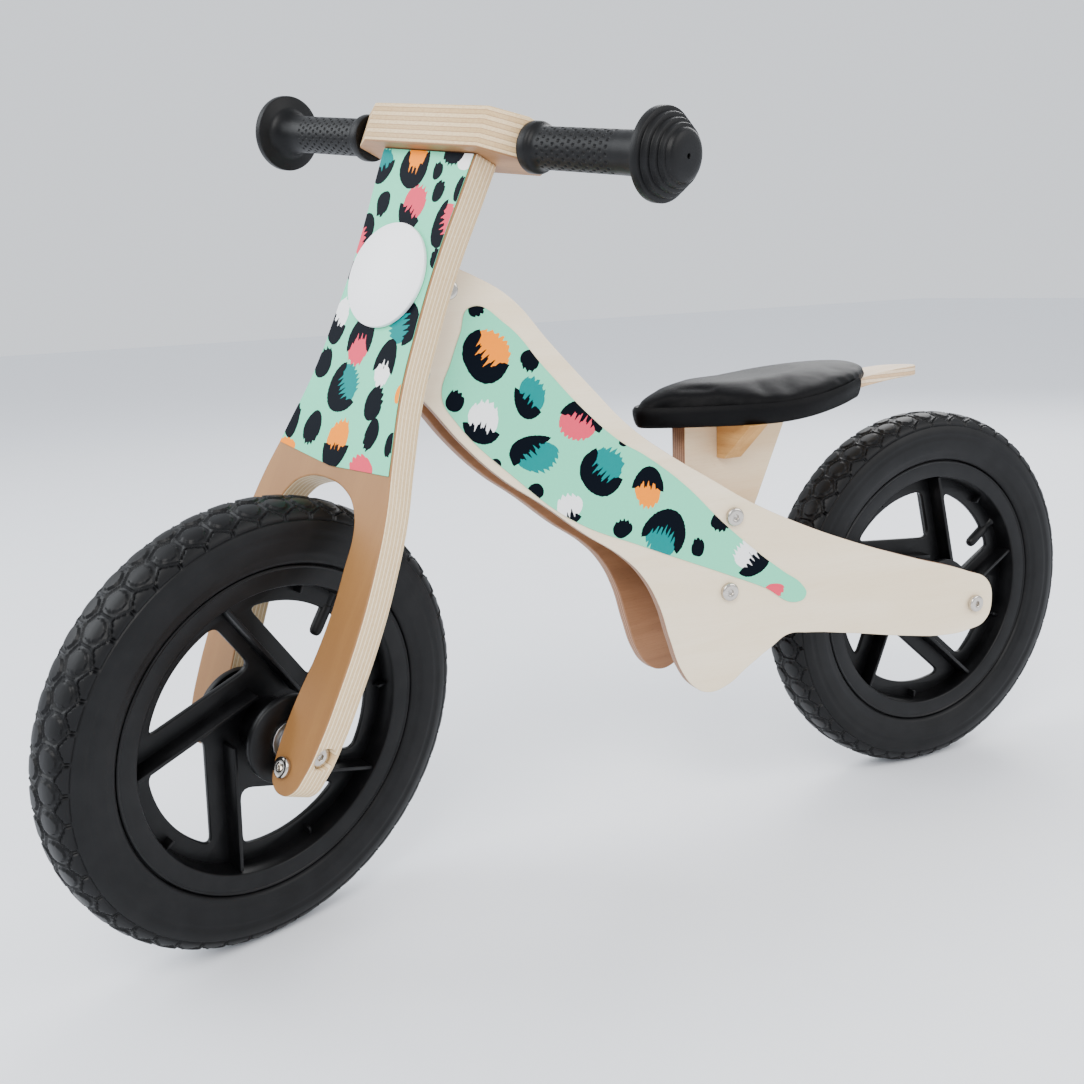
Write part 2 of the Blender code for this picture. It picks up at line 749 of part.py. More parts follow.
def add_bracket(steering, name, level, foot_up, board):
    """Steel angle behind the board: a bored lug on the steering axis and a foot on the board."""
    lug = []
    for step in range(9):
        angle = math.radians(90 + 22.5 * step)
        lug.append((LUG_HALF * math.cos(angle), LUG_HALF * math.sin(angle), "corner"))
    back_face = AXLE_LEAD - FORK_THICK / 2 - GAP
    lug += [(back_face, -LUG_HALF, "corner"), (back_face, LUG_HALF, "corner")]
    mesh = plate_mesh(lug, LUG_THICK, [(0, 0, ROD_HOLE_R, 16)])
    bracket = add_node(name, mesh, steering, shift(0, 0, level), STEEL)
    foot_z = (0, FOOT_LENGTH) if foot_up else (-FOOT_LENGTH, 0)
    foot = box_mesh((back_face - LUG_THICK, back_face), (-LUG_HALF, LUG_HALF), foot_z)
    boolean(bracket, add_cutter(f"{name}_foot", foot, steering, shift(0, 0, level)), "UNION")
    place = shift(back_face - LUG_THICK - GAP, 0, level + (15 if foot_up else -15)) @ POINT_BACK
    hole = add_cutter(f"{name}_hole", rod_mesh(2.1, -18, 5, 8), steering, place)
    boolean(bracket, hole)
    boolean(board, hole)
    return place


def add_steering(steering, board):
    upper = HEAD_TOP + LUG_REACH
    lower = HEAD_BOTTOM - LUG_REACH
    places = {
        "upper": add_bracket(steering, "upper_steering_bracket", upper + LUG_THICK / 2, True, board),
        "lower": add_bracket(steering, "lower_steering_bracket", lower - LUG_THICK / 2, False, board),
    }
    profile = [(0, 2), (2.6, 2), (3.6, 0), (1.8, 0), (1.8, -16), (0, -16)]
    add_copies("bracket_screw", turned_mesh(profile, 8), steering, places, ZINC)
    washer = ring_mesh(8.5, ROD_HOLE_R, -LUG_REACH / 2 + GAP, LUG_REACH / 2 - GAP)
    levels = {
        "upper": shift(0, 0, HEAD_TOP + LUG_REACH / 2),
        "lower": shift(0, 0, HEAD_BOTTOM - LUG_REACH / 2),
    }
    add_copies("steering_washer", washer, steering, levels, NYLON)
    head = upper + LUG_THICK + GAP
    nut_top = lower - LUG_THICK - GAP
    rod = [(0, head + 4), (6.5, head + 4), (7, head + 3), (7, head), (ROD_R, head)]
    rod += [(ROD_R, nut_top - 8), (0, nut_top - 8)]
    add_node("steering_rod", turned_mesh(rod, 12), steering, Matrix(), ZINC)
    nut = ring_mesh(7, ROD_HOLE_R, nut_top - 5, nut_top, 12)
    add_node("steering_nut", nut, steering, Matrix(), ZINC)


# Wheels, each in a frame whose z is the wheel axis and whose x is along a spoke

def both_sides(half):
    """A closed ring profile from its upper half, listed from the outside in."""
    return [(r, z) for r, z in half[::-1]] + [(r, -z) for r, z in half]


def tyre_mesh():
    outside = [(152.5, 7), (149, 16.8), (134.7, 22), (113.2, 17.7), (112.8, 14.6), (104.5, 14.6)]
    inside = [(104.5, 10.5), (125, 18), (147, 11)]
    return turned_mesh(both_sides(outside + inside), 36)


def inner_tube_mesh():
    """A thin rubber torus, whose hollow opens only through the valve."""
    outside = [(144.5, 8.5), (125, 16.4), (104.4, 8.5)]
    thin = 1.3
    inside = [(144.5 - thin, 8.5 - thin), (125, 16.4 - 1.5 * thin), (104.4 + thin, 8.5 - thin)]
    shells = [turned_mesh(both_sides(outside), 24), turned_mesh(both_sides(inside), 24)]
    bm = bmesh.new()
    bm.from_mesh(shells[1])
    bmesh.ops.reverse_faces(bm, faces=bm.faces)
    bm.to_mesh(shells[1])
    bm.free()
    return group_mesh([(shell, Matrix()) for shell in shells])


def rim_mesh():
    """Rim barrel: flanges, bead seats and a drop centre outside, a shallow taper inside."""
    outside = [(102, 9), (104, 15), (112.2, 15)]
    inside = [(112.2, 17.3), (98.5, 17.3), (96.5, 3)]
    upper = outside + inside
    lower = [(r, -z) for r, z in upper[::-1]]
    return turned_mesh((upper + lower)[::-1], 32)


def web_mesh():
    """Central plate: an outer ring and five spokes tangent to the hub, with a window between spokes."""
    outer_r = 99.5
    ring_r = 84.5
    near, far = SPOKE_OFFSET - 10, SPOKE_OFFSET + 14
    rim_line = []
    for index in range(30):
        angle = 2 * math.pi * index / 30
        rim_line.append((outer_r * math.cos(angle), outer_r * math.sin(angle), "corner"))
    pitch = 2 * math.pi / SPOKES
    first = math.asin(far / ring_r)
    last = pitch + math.asin(near / ring_r)
    corners = [(ring_r, first + (last - first) * part / 4) for part in range(5)]
    inner_x = (far * math.cos(pitch) - near) / math.sin(pitch)
    corners.append((math.hypot(inner_x, far), math.atan2(far, inner_x)))
    windows = []
    for index in range(SPOKES):
        spread = [(r, -angle - index * pitch) for r, angle in corners]
        windows.append([(r * math.cos(angle), r * math.sin(angle), "corner") for r, angle in spread])
    return plate_mesh(rim_line, 4, [(0, 0, HUB_R - 6)], windows)


def hub_mesh():
    """Spool-shaped hub: a core through the web, and a wide disc round each bearing."""
    pocket = HUB_HALF - BEARING_WIDTH - 0.4
    upper = [
        (HUB_R, 0),
        (HUB_R, HUB_HALF - 6),
        (HUB_DISC_R, HUB_HALF - 6),
        (HUB_DISC_R, HUB_HALF),
        (BEARING_R + GAP, HUB_HALF),
        (BEARING_R + GAP, pocket),
        (7.5, pocket),
    ]
    lower = [(r, -z) for r, z in upper[1:]]
    return turned_mesh((lower[::-1] + upper)[::-1], 20)


def add_wheel(name, hub):
    """Rim, tyre, inner tube with its valve, and two bearings round the hub frame of one wheel."""
    rim = add_node(f"{name}_rim", rim_mesh(), hub, Matrix(), BLACK_PLASTIC)
    boolean(rim, add_cutter(f"{name}_web", web_mesh(), hub, Matrix()), "UNION")
    boolean(rim, add_cutter(f"{name}_hub", hub_mesh(), hub, Matrix()), "UNION")
    rib = box_mesh((2, 93.2), (-SPOKE_OFFSET - 1.5, -SPOKE_OFFSET + 1.5), (-15, 15))
    ribs = [(rib, turn(360 / SPOKES * index, "Z")) for index in range(SPOKES)]
    boolean(rim, add_cutter(f"{name}_ribs", group_mesh(ribs), hub, Matrix()), "UNION")
    axis = turn(-VALVE_ANGLE, "Z")
    hole = rod_mesh(4.2, 70, 120, 10)
    valve_hole = add_cutter(f"{name}_valve_hole", hole, hub, axis @ POINT_FORWARD)
    boolean(rim, valve_hole)
    add_node(f"{name}_tyre", tyre_mesh(), hub, Matrix(), RUBBER)
    tube = add_node(f"{name}_inner_tube", inner_tube_mesh(), hub, Matrix(), RUBBER)
    stem = turned_mesh([(0, 112), (3.6, 112), (3.6, 80), (3.9, 79), (3.9, 69), (0, 68)], 10)
    boolean(tube, add_cutter(f"{name}_valve_stem", stem, hub, axis @ POINT_FORWARD), "UNION")
    air_way = rod_mesh(1.5, 60, 116, 8)
    boolean(tube, add_cutter(f"{name}_valve_bore", air_way, hub, axis @ POINT_FORWARD))
    bearing = ring_mesh(BEARING_R, AXLE_R + 0.4, HUB_HALF - BEARING_WIDTH, HUB_HALF)
    places = {f"left_{name}": Matrix(), f"right_{name}": turn(180, "X")}
    add_copies("bearing", bearing, hub, places, ZINC)


def stand_on_origin(bike):
    """Moves the bike so that the middle of its footprint is the origin and it stands on Z = 0."""
    bpy.context.view_layer.update()
    graph = bpy.context.evaluated_depsgraph_get()
    low = Vector((math.inf,) * 3)
    high = Vector((-math.inf,) * 3)
    for obj in bpy.data.collections[PARTS].objects:
        if obj.type != "MESH":
            continue
        for corner in obj.evaluated_get(graph).data.vertices:
            spot = obj.matrix_world @ corner.co
            low = Vector(map(min, low, spot))
            high = Vector(map(max, high, spot))
    bike.location -= Vector(((low.x + high.x) / 2, (low.y + high.y) / 2, low.z))


def main():
    clear_scene()
    new_collection(PARTS)
    new_collection(CUTTERS)
    bike = add_empty("bike", None, Matrix())
    add_panels(bike)
    add_head(bike)
    add_seat(bike)
    add_rear_axle(bike)
    rear_spin = shift(0, 0, AXLE_HEIGHT) @ turn(-REAR_PHASE, "Y") @ outward(1)
    add_wheel("rear", add_empty("rear_wheel_axis", bike, rear_spin))
    steering = add_empty("steering_axis", bike, head_matrix() @ turn(STEER_REST, "Z"))
    board = add_fork_board(steering)
    add_handlebar(steering, board)
    add_grips(steering)
    add_steering(steering, board)
    add_front_axle(steering)
    front_spin = shift(AXLE_LEAD, 0, 0) @ turn(-FRONT_PHASE, "Y") @ outward(1)
    add_wheel("front", add_empty("front_wheel_axis", steering, front_spin))
    stand_on_origin(bike)


main()
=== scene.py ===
import json
import math

import bmesh
import bpy
import numpy as np
from mathutils import Matrix, Vector


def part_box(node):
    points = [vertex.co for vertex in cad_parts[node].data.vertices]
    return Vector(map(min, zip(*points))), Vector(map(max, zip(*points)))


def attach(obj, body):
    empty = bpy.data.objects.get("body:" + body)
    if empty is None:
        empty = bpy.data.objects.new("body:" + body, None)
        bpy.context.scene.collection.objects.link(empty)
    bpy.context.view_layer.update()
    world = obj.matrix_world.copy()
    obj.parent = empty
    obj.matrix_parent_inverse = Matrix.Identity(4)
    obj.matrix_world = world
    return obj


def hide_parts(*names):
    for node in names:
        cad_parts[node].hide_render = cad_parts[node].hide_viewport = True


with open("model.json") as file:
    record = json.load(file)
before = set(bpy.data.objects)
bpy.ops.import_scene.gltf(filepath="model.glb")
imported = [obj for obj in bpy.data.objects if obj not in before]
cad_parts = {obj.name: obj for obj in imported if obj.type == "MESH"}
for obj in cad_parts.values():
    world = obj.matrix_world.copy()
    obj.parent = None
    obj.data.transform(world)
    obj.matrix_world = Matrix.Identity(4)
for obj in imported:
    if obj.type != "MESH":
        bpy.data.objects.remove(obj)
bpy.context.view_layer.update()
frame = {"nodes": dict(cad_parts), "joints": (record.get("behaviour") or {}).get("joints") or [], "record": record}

MM = 0.001
JOINTS = {joint["name"]: joint for joint in frame["joints"]}
MOUNTS = {mount["name"]: mount for mount in frame["record"]["mounts"]}
SIDES = {"left": 1, "right": -1}
WHEEL_R = 152.5  # sizes are in millimetres
AXLE_LEAD = 26.0
SPOKE_OFFSET = 30.0
FRONT_FACE = 36.0
PANEL_THICK = 9.0
FORK_TOP = 387.7
BAR_X, BAR_Z = 22.0, 399.0
BLOCK_BOTTOM, BLOCK_TOP = 388.0, 414.5
PLANK_BOTTOM, PLANK_THICK = 318.0, 8.0
CUSHION_BOTTOM, CUSHION_THICK = 319.5, 26.5
CUSHION_REAR, CUSHION_NOSE = 70.0, 284.0
CUSHION_HALF, NOSE_HALF = 58, 18.0
CUSHION_WIDEST = 0.45  # share of the cushion's length, from its rear
PLANK_RISE, RISE_FRONT, RISE_LENGTH = 20.0, 200.0, 175.0
PLANK_INSET = 7
FORK_THICK = 20
WHEEL_PHASE = {"rear": 5, "front": -41.5}
VALVE_ANGLE = 145
SPOKES = 5
FILM_THICK, INK_LEVEL, NAVY_LEVEL = 0.4, 0.05, 0.10
FRONT_BOLT_SEAT = 60.3
LEG_BOLT_Y, LEG_BOLT_Z = 45, -14
BADGE_Z = 303
CAMERA_PLACE = (769.62, 792.23, 434.65)
CAMERA_TARGET = (363.95, 0.0, 242.60)
CAMERA_ROLL, CAMERA_LENS = -2.448, 41.71
CORNER = "corner"


# Frames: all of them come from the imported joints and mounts

def basis(x, y, z, origin):
    matrix = Matrix((x, y, z)).transposed().to_4x4()
    matrix.translation = origin
    return matrix


def shift(x, y, z):
    return Matrix.Translation(Vector((x, y, z)) * MM)


def turn(degrees, axis):
    return Matrix.Rotation(math.radians(degrees), 4, axis)


def outward(side):
    return turn(-side * 90, "X")


REAR = Vector(JOINTS["rear_wheel_spin"]["pos_m"])
BIKE = Matrix.Translation(REAR - Vector((0, 0, WHEEL_R * MM)))
HEAD_AXIS = Vector(JOINTS["steering"]["axis"]).normalized()
FRONT_AXIS = Vector(JOINTS["front_wheel_spin"]["axis"]).normalized()
AHEAD = FRONT_AXIS.cross(HEAD_AXIS)
STEER = basis(AHEAD, FRONT_AXIS, HEAD_AXIS, Vector(JOINTS["steering"]["pos_m"]))
POINT_FORWARD = turn(90, "Y")
FLAT_TO_SIDE = turn(90, "X")
FLAT_TO_BOARD = Matrix(((0, 0, 1, 0), (1, 0, 0, 0), (0, 1, 0, 0), (0, 0, 0, 1)))


def wheel_matrix(centre, ahead, up, axis, phase):
    """x runs along a spoke and z along the axle."""
    angle = math.radians(phase)
    x = ahead * math.cos(angle) + up * math.sin(angle)
    return basis(x, axis.cross(x), axis, centre)


def panel_matrix(side):
    """x runs along the panel from the rear axle, y out of its face, z up from the ground."""
    mount = MOUNTS["left_panel_tail"]
    normal = Vector(mount["axis"]).normalized()
    reach = (Vector(mount["pos_m"]) - REAR).dot(normal) / normal.y
    normal = Vector((normal.x, side * normal.y, 0))
    x = Vector((normal.y, -normal.x, 0)) * side
    origin = BIKE.translation + Vector((0, side * reach, 0))
    return basis(x, normal * side, Vector((0, 0, 1)), origin)


# Materials

def srgb(r, g, b):
    def linear(v):
        v /= 255
        return v / 12.92 if v <= 0.04045 else ((v + 0.055) / 1.055) ** 2.4
    return (linear(r), linear(g), linear(b), 1.0)


class Look:
    """A Principled material with helpers for its nodes. Vectors are in millimetres."""

    def __init__(self, name, roughness, metallic=0.0, **values):
        self.material = bpy.data.materials.new(name)
        self.material.use_nodes = True
        self.tree = self.material.node_tree
        self.shader = self.tree.nodes["Principled BSDF"]
        self.shader.inputs["Roughness"].default_value = roughness
        self.shader.inputs["Metallic"].default_value = metallic
        for key, value in values.items():
            self.shader.inputs[key.replace("_", " ")].default_value = value
        coordinates = self.tree.nodes.new("ShaderNodeTexCoord")
        self.place = coordinates.outputs["Object"]

    def put(self, socket, value):
        if isinstance(value, bpy.types.NodeSocket):
            self.tree.links.new(value, socket)
        else:
            socket.default_value = value

    def stretched(self, x, y, z):
        node = self.tree.nodes.new("ShaderNodeMapping")
        node.inputs["Scale"].default_value = (x * 1000, y * 1000, z * 1000)
        self.put(node.inputs["Vector"], self.place)
        return node.outputs["Vector"]

    def noise(self, scale, detail=3.0, stretch=(1, 1, 1), rough=0.5, distortion=0.0):
        node = self.tree.nodes.new("ShaderNodeTexNoise")
        self.put(node.inputs["Vector"], self.stretched(*stretch))
        values = {"Scale": scale, "Detail": detail, "Roughness": rough, "Distortion": distortion}
        for key, value in values.items():
            node.inputs[key].default_value = value
        return node.outputs["Fac"]

    def cells(self, scale, feature="DISTANCE_TO_EDGE", stretch=(1, 1, 1)):
        node = self.tree.nodes.new("ShaderNodeTexVoronoi")
        node.feature = feature
        self.put(node.inputs["Vector"], self.stretched(*stretch))
        node.inputs["Scale"].default_value = scale
        return node.outputs["Distance"]

    def along(self, axis):
        node = self.tree.nodes.new("ShaderNodeSeparateXYZ")
        self.put(node.inputs[0], self.stretched(1, 1, 1))
        return node.outputs["XYZ".index(axis)]

    def sum(self, kind, a, b=0.0, c=0.0):
        node = self.tree.nodes.new("ShaderNodeMath")
        node.operation = kind
        for socket, value in zip(node.inputs, (a, b, c)):
            self.put(socket, value)
        return node.outputs[0]

    def ramp(self, factor, *stops):
        node = self.tree.nodes.new("ShaderNodeValToRGB")
        elements = node.color_ramp.elements
        while len(elements) < len(stops):
            elements.new(0.5)
        for element, (position, colour) in zip(elements, stops):
            element.position = position
            element.color = colour if isinstance(colour, tuple) else (colour, colour, colour, 1)
        self.put(node.inputs["Fac"], factor)
        return node.outputs["Color"]

    def mix(self, factor, a, b, kind="MIX"):
        node = self.tree.nodes.new("ShaderNodeMix")
        node.data_type = "RGBA"
        node.blend_type = kind
        self.put(node.inputs["Factor"], factor)
        self.put([s for s in node.inputs if s.name == "A" and s.type == "RGBA"][0], a)
        self.put([s for s in node.inputs if s.name == "B" and s.type == "RGBA"][0], b)
        return [s for s in node.outputs if s.type == "RGBA"][0]

    def colour(self, value):
        self.put(self.shader.inputs["Base Color"], value)
        return self

    def bump(self, height, distance, strength=1.0):
        """Relief: distance is its height in millimetres."""
        node = self.tree.nodes.new("ShaderNodeBump")
        node.inputs["Distance"].default_value = distance * MM
        node.inputs["Strength"].default_value = strength
        self.put(node.inputs["Height"], height)
        if self.shader.inputs["Normal"].is_linked:
            self.put(node.inputs["Normal"], self.shader.inputs["Normal"].links[0].from_socket)
        self.put(self.shader.inputs["Normal"], node.outputs["Normal"])
        return self


def wood_face(name, base, dark, stretch, roughness=0.5, pores=0.35):
    """A veneer: faint broad figure, fine grain lines and short pores along the grain."""
    look = Look(name, roughness)
    figure = look.noise(0.045, 4, [0.12 + 0.88 * s for s in stretch], 0.55, 0.6)
    fine = look.noise(0.9, 5, [0.03 + 0.97 * s for s in stretch], 0.6)
    pore = look.noise(2.6, 2, [0.07 + 0.93 * s for s in stretch], 0.5)
    tone = look.mix(look.ramp(figure, (0.36, 0.0), (0.66, 1.0)), base, dark)
    tone = look.mix(look.ramp(fine, (0.42, 0.0), (0.72, 0.45)), tone, dark)
    tone = look.mix(look.ramp(pore, (0.62, 0.0), (0.72, pores)), tone, dark, "MULTIPLY")
    look.colour(tone)
    return look.bump(fine, 0.12, 0.5).bump(pore, 0.06, 0.4)


def ply_edge(name, axis, thickness, layers, light, dark, glue, stretch):
    """Cut plywood: light and dark veneers across the thickness with thin glue lines between."""
    look = Look(name, 0.55)
    waver = look.noise(0.05, 2, stretch, 0.5)
    level = look.sum("MULTIPLY_ADD", waver, 0.35, look.along(axis))
    level = look.sum("MULTIPLY", level, layers / thickness)
    parity = look.sum("PINGPONG", level, 1.0)
    line = look.sum("PINGPONG", look.sum("ADD", level, 0.5), 0.5)
    tone = look.mix(look.ramp(parity, (0.45, 0.0), (0.55, 1.0)), light, dark)
    speckle = look.noise(1.4, 4, [0.25 + 0.75 * s for s in stretch], 0.65)
    tone = look.mix(look.ramp(speckle, (0.42, 0.0), (0.75, 0.55)), tone, dark, "MULTIPLY")
    tone = look.mix(look.ramp(line, (0.0, 0.85), (0.13, 0.0)), tone, glue)
    look.colour(tone)
    return look.bump(speckle, 0.1, 0.5).bump(line, 0.08, 0.5)


def plastic(name, colour, roughness, grain, size, distance):
    """Moulded plastic or rubber with a fine matt texture and slightly uneven tone."""
    look = Look(name, roughness, Specular_IOR_Level=0.2)
    broad = look.noise(0.06, 3)
    light = tuple(min(1.0, v * 1.5 + 0.002) for v in colour[:3]) + (1,)
    look.colour(look.mix(look.ramp(broad, (0.35, 0.0), (0.7, 1.0)), colour, light))
    return look.bump(look.noise(size, grain, rough=0.6), distance, 0.6)


def metal(name, colour, roughness, scratch):
    look = Look(name, roughness, 1.0)
    wear = look.noise(1.2, 4, (1, 1, 0.2), 0.6)
    darker = tuple(v * 0.78 for v in colour[:3]) + (1,)
    look.colour(look.mix(look.ramp(wear, (0.4, 0.0), (0.8, 1.0)), colour, darker))
    return look.bump(wear, scratch, 0.4)


def print_ink(name, colour, roughness=0.5):
    """Printed film: even ink with the faint mottle of a laminated surface."""
    look = Look(name, roughness, Specular_IOR_Level=0.06)
    mottle = look.noise(0.5, 3)
    shade = tuple(v * 0.94 for v in colour[:3]) + (1,)
    look.colour(look.mix(look.ramp(mottle, (0.35, 0.0), (0.75, 0.5)), colour, shade))
    return look.bump(look.noise(0.35, 2), 0.05, 0.25)


def leatherette(name):
    look = Look(name, 0.45, Specular_IOR_Level=0.10)
    grain = look.cells(1.15, "DISTANCE_TO_EDGE")
    soft = look.noise(0.05, 3)
    look.colour(look.mix(look.ramp(soft, (0.3, 0.0), (0.75, 1.0)), srgb(2, 2, 3), srgb(5, 5, 6)))
    look.bump(look.ramp(grain, (0.0, 0.0), (0.22, 1.0)), 0.10, 0.5)
    return look.bump(look.noise(0.11, 3), 0.5, 0.35)


def speckled(name):
    """White plastic printed with a few pale grey specks."""
    look = Look(name, 0.42)
    dots = look.cells(0.16, "F1")
    patch = look.noise(0.07, 2)
    dot = look.ramp(dots, (0.05, 1.0), (0.09, 0.0))
    spot = look.sum("MULTIPLY", dot, look.ramp(patch, (0.52, 0.0), (0.6, 0.55)))
    look.colour(look.mix(spot, srgb(244, 244, 246), srgb(176, 178, 182)))
    return look.bump(look.noise(0.4, 2), 0.04, 0.2)


GRAIN_X, GRAIN_Y, GRAIN_Z = (0, 1, 1), (1, 0, 1), (1, 1, 0)
BIRCH_LIGHT, BIRCH_DARK = srgb(240, 224, 196), srgb(232, 212, 180)
LOOKS = {
    "birch": wood_face("birch_veneer", BIRCH_LIGHT, BIRCH_DARK, GRAIN_X, 0.5, 0.3),
    "post": wood_face("post_veneer", srgb(234, 210, 174), srgb(225, 196, 154), GRAIN_X, 0.5, 0.35),
    "plank": wood_face("plank_veneer", srgb(232, 212, 184), srgb(206, 176, 138), GRAIN_X, 0.5, 0.4),
    "kraft": wood_face("kraft_face", srgb(150, 106, 58), srgb(140, 97, 52), GRAIN_Y, 0.55, 0.2),
    # Inner faces of the side panels: partly a brown board face, partly painted shade and painted floor reflection
    # from the gap between the panels
    "brown": wood_face("brown_face_and_painted_shade", srgb(158, 112, 76), srgb(132, 90, 58), GRAIN_X, 0.6, 0.3),
    "plank_edge": ply_edge("plank_edge", "Z", 8, 3,
                           srgb(228, 206, 176), srgb(206, 174, 134), srgb(140, 104, 74), GRAIN_X),
    "panel_edge": ply_edge("panel_edge", "Z", 9, 7,
                           srgb(176, 132, 98), srgb(134, 92, 64), srgb(96, 62, 42), GRAIN_X),
    "fork_edge": ply_edge("fork_edge", "Z", 20, 13,
                           srgb(240, 220, 182), srgb(220, 190, 144), srgb(150, 108, 66), GRAIN_Y),
    "block_edge": ply_edge("block_edge", "Z", 26.5, 9,
                           srgb(222, 196, 152), srgb(200, 168, 120), srgb(134, 96, 60), GRAIN_Y),
    "block_top": wood_face("block_top", srgb(226, 202, 160), srgb(196, 164, 118), GRAIN_Y, 0.45, 0.5),
    # Underside of the handlebar block: a darker copy of the top's wood, painted shade
    "block_under_painted_shade": wood_face("block_under_painted_shade", srgb(176, 132, 90), srgb(140, 98, 62), GRAIN_Y, 0.55, 0.4),
    "pine": wood_face("pine", srgb(222, 176, 112), srgb(186, 132, 70), (1, 0, 1), 0.5, 0.5),
    "mint": print_ink("mint_film", srgb(112, 216, 176)),
    "navy": print_ink("navy_ink", srgb(1, 6, 16)),
    "teal": print_ink("teal_ink", srgb(0, 124, 122)),
    "orange": print_ink("orange_ink", srgb(250, 138, 4)),
    "pink": print_ink("pink_ink", srgb(222, 68, 92)),
    "white": print_ink("white_ink", srgb(240, 240, 240)),
    "badge": speckled("badge_white"),
    "nickel": metal("nickel_steel", srgb(196, 190, 182), 0.16, 0.02),
    "zinc": metal("zinc_steel", srgb(176, 176, 178), 0.36, 0.06),
    "rim": plastic("rim_plastic", srgb(4, 4, 5), 0.4, 3, 1.6, 0.05),
    "tyre": plastic("tyre_rubber", srgb(3, 3, 4), 0.46, 4, 1.1, 0.06),
    "tube": plastic("tube_rubber", srgb(3, 3, 4), 0.42, 3, 1.2, 0.04),
    "grip": plastic("grip_rubber", srgb(3, 3, 4), 0.44, 4, 1.6, 0.08),
    "saddle": leatherette("saddle_leatherette"),
    "nylon": plastic("nylon", srgb(226, 223, 212), 0.45, 2, 0.9, 0.04),
    "block": wood_face("head_block_wood", srgb(214, 186, 146), srgb(184, 148, 104), GRAIN_Z, 0.55, 0.4),
}


def materials(*names):
    return [LOOKS[name].material for name in names]


# Mesh helpers

def piece(name, mesh, looks, matrix, body, slot, *nodes):
    """A visible piece, placed in the row frame, riding on its body and standing for the CAD nodes named."""
    obj = bpy.data.objects.new(name, mesh)
    bpy.context.scene.collection.objects.link(obj)
    if not mesh.materials:
        for material in materials(*looks):
            mesh.materials.append(material)
    obj.matrix_world = matrix
    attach(obj, body)
    if nodes:
        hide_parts(*nodes)
    return obj


def grid_mesh(name, points, wrap_rows=False, wrap_cols=True, cap=False):
    """Quads over an array of rows x columns of points, in millimetres."""
    rows, cols = points.shape[:2]
    index = np.arange(rows * cols).reshape(rows, cols)
    down = np.roll(index, -1, 0) if wrap_rows else index[1:]
    top = index if wrap_rows else index[:-1]
    right = np.roll(index, -1, 1)
    low = np.roll(right, -1, 0) if wrap_rows else right[1:]
    high = right if wrap_rows else right[:-1]
    quads = np.stack([top, high, low, down], -1).reshape(-1, 4)
    faces = quads.tolist()
    if cap:
        faces.append(index[0][::-1].tolist())
        faces.append(index[-1].tolist())
    mesh = bpy.data.meshes.new(name)
    mesh.from_pydata((points.reshape(-1, 3) * MM).tolist(), [], faces)
    return tidy_mesh(mesh)


def tidy_mesh(mesh, sharp=38):
    bm = bmesh.new()
    bm.from_mesh(mesh)
    bmesh.ops.remove_doubles(bm, verts=bm.verts, dist=1e-6)
    bmesh.ops.recalc_face_normals(bm, faces=bm.faces)
    bm.to_mesh(mesh)
    bm.free()
    mesh.shade_smooth()
    mesh.set_sharp_from_angle(angle=math.radians(sharp))
    return mesh


def turned(name, profile, steps=96, closed=True):
    """A solid of revolution about z. profile is (radius, z) in millimetres."""
    profile = np.array(profile, float)
    theta = around(steps)
    points = np.empty((len(profile), steps, 3))
    points[..., 0] = profile[:, :1] * np.cos(theta)
    points[..., 1] = profile[:, :1] * np.sin(theta)
    points[..., 2] = profile[:, 1:]
    return grid_mesh(name, points, wrap_rows=closed, cap=not closed)


def join(name, parts):
    """One mesh from (mesh, matrix) pairs, keeping each part's material indices."""
    bm = bmesh.new()
    for mesh, matrix in parts:
        copy = mesh.copy()
        copy.transform(matrix)
        bm.from_mesh(copy)
        bpy.data.meshes.remove(copy)
    joined = bpy.data.meshes.new(name)
    bm.to_mesh(joined)
    bm.free()
    joined.shade_smooth()
    joined.set_sharp_from_angle(angle=math.radians(38))
    return joined


def evaluated(obj):
    """The mesh with the modifiers applied; the object itself is removed."""
    bpy.context.scene.collection.objects.link(obj)
    bpy.context.view_layer.update()
    graph = bpy.context.evaluated_depsgraph_get()
    mesh = bpy.data.meshes.new_from_object(obj.evaluated_get(graph))
    bpy.data.objects.remove(obj, do_unlink=True)
    return mesh


def bevelled(mesh, width, segments=2, angle=35):
    obj = bpy.data.objects.new("bevel", mesh)
    modifier = obj.modifiers.new("bevel", "BEVEL")
    modifier.width = width * MM
    modifier.segments = segments
    modifier.limit_method = "ANGLE"
    modifier.angle_limit = math.radians(angle)
    return evaluated(obj)


def cut(mesh, cutter, operation="DIFFERENCE"):
    tool = bpy.data.objects.new("cutter", cutter)
    bpy.context.scene.collection.objects.link(tool)
    obj = bpy.data.objects.new("cut", mesh)
    modifier = obj.modifiers.new("cut", "BOOLEAN")
    modifier.object = tool
    modifier.operation = operation
    modifier.solver = "EXACT"
    result = evaluated(obj)
    bpy.data.objects.remove(tool, do_unlink=True)
    return result


def outline(curve, knots):
    spline = curve.splines.new("BEZIER")
    spline.bezier_points.add(len(knots) - 1)
    for point, knot in zip(spline.bezier_points, knots):
        kind = "VECTOR" if len(knot) == 3 else "AUTO"
        point.co = (knot[0] * MM, knot[1] * MM, 0)
        point.handle_left_type = point.handle_right_type = kind
    spline.use_cyclic_u = True


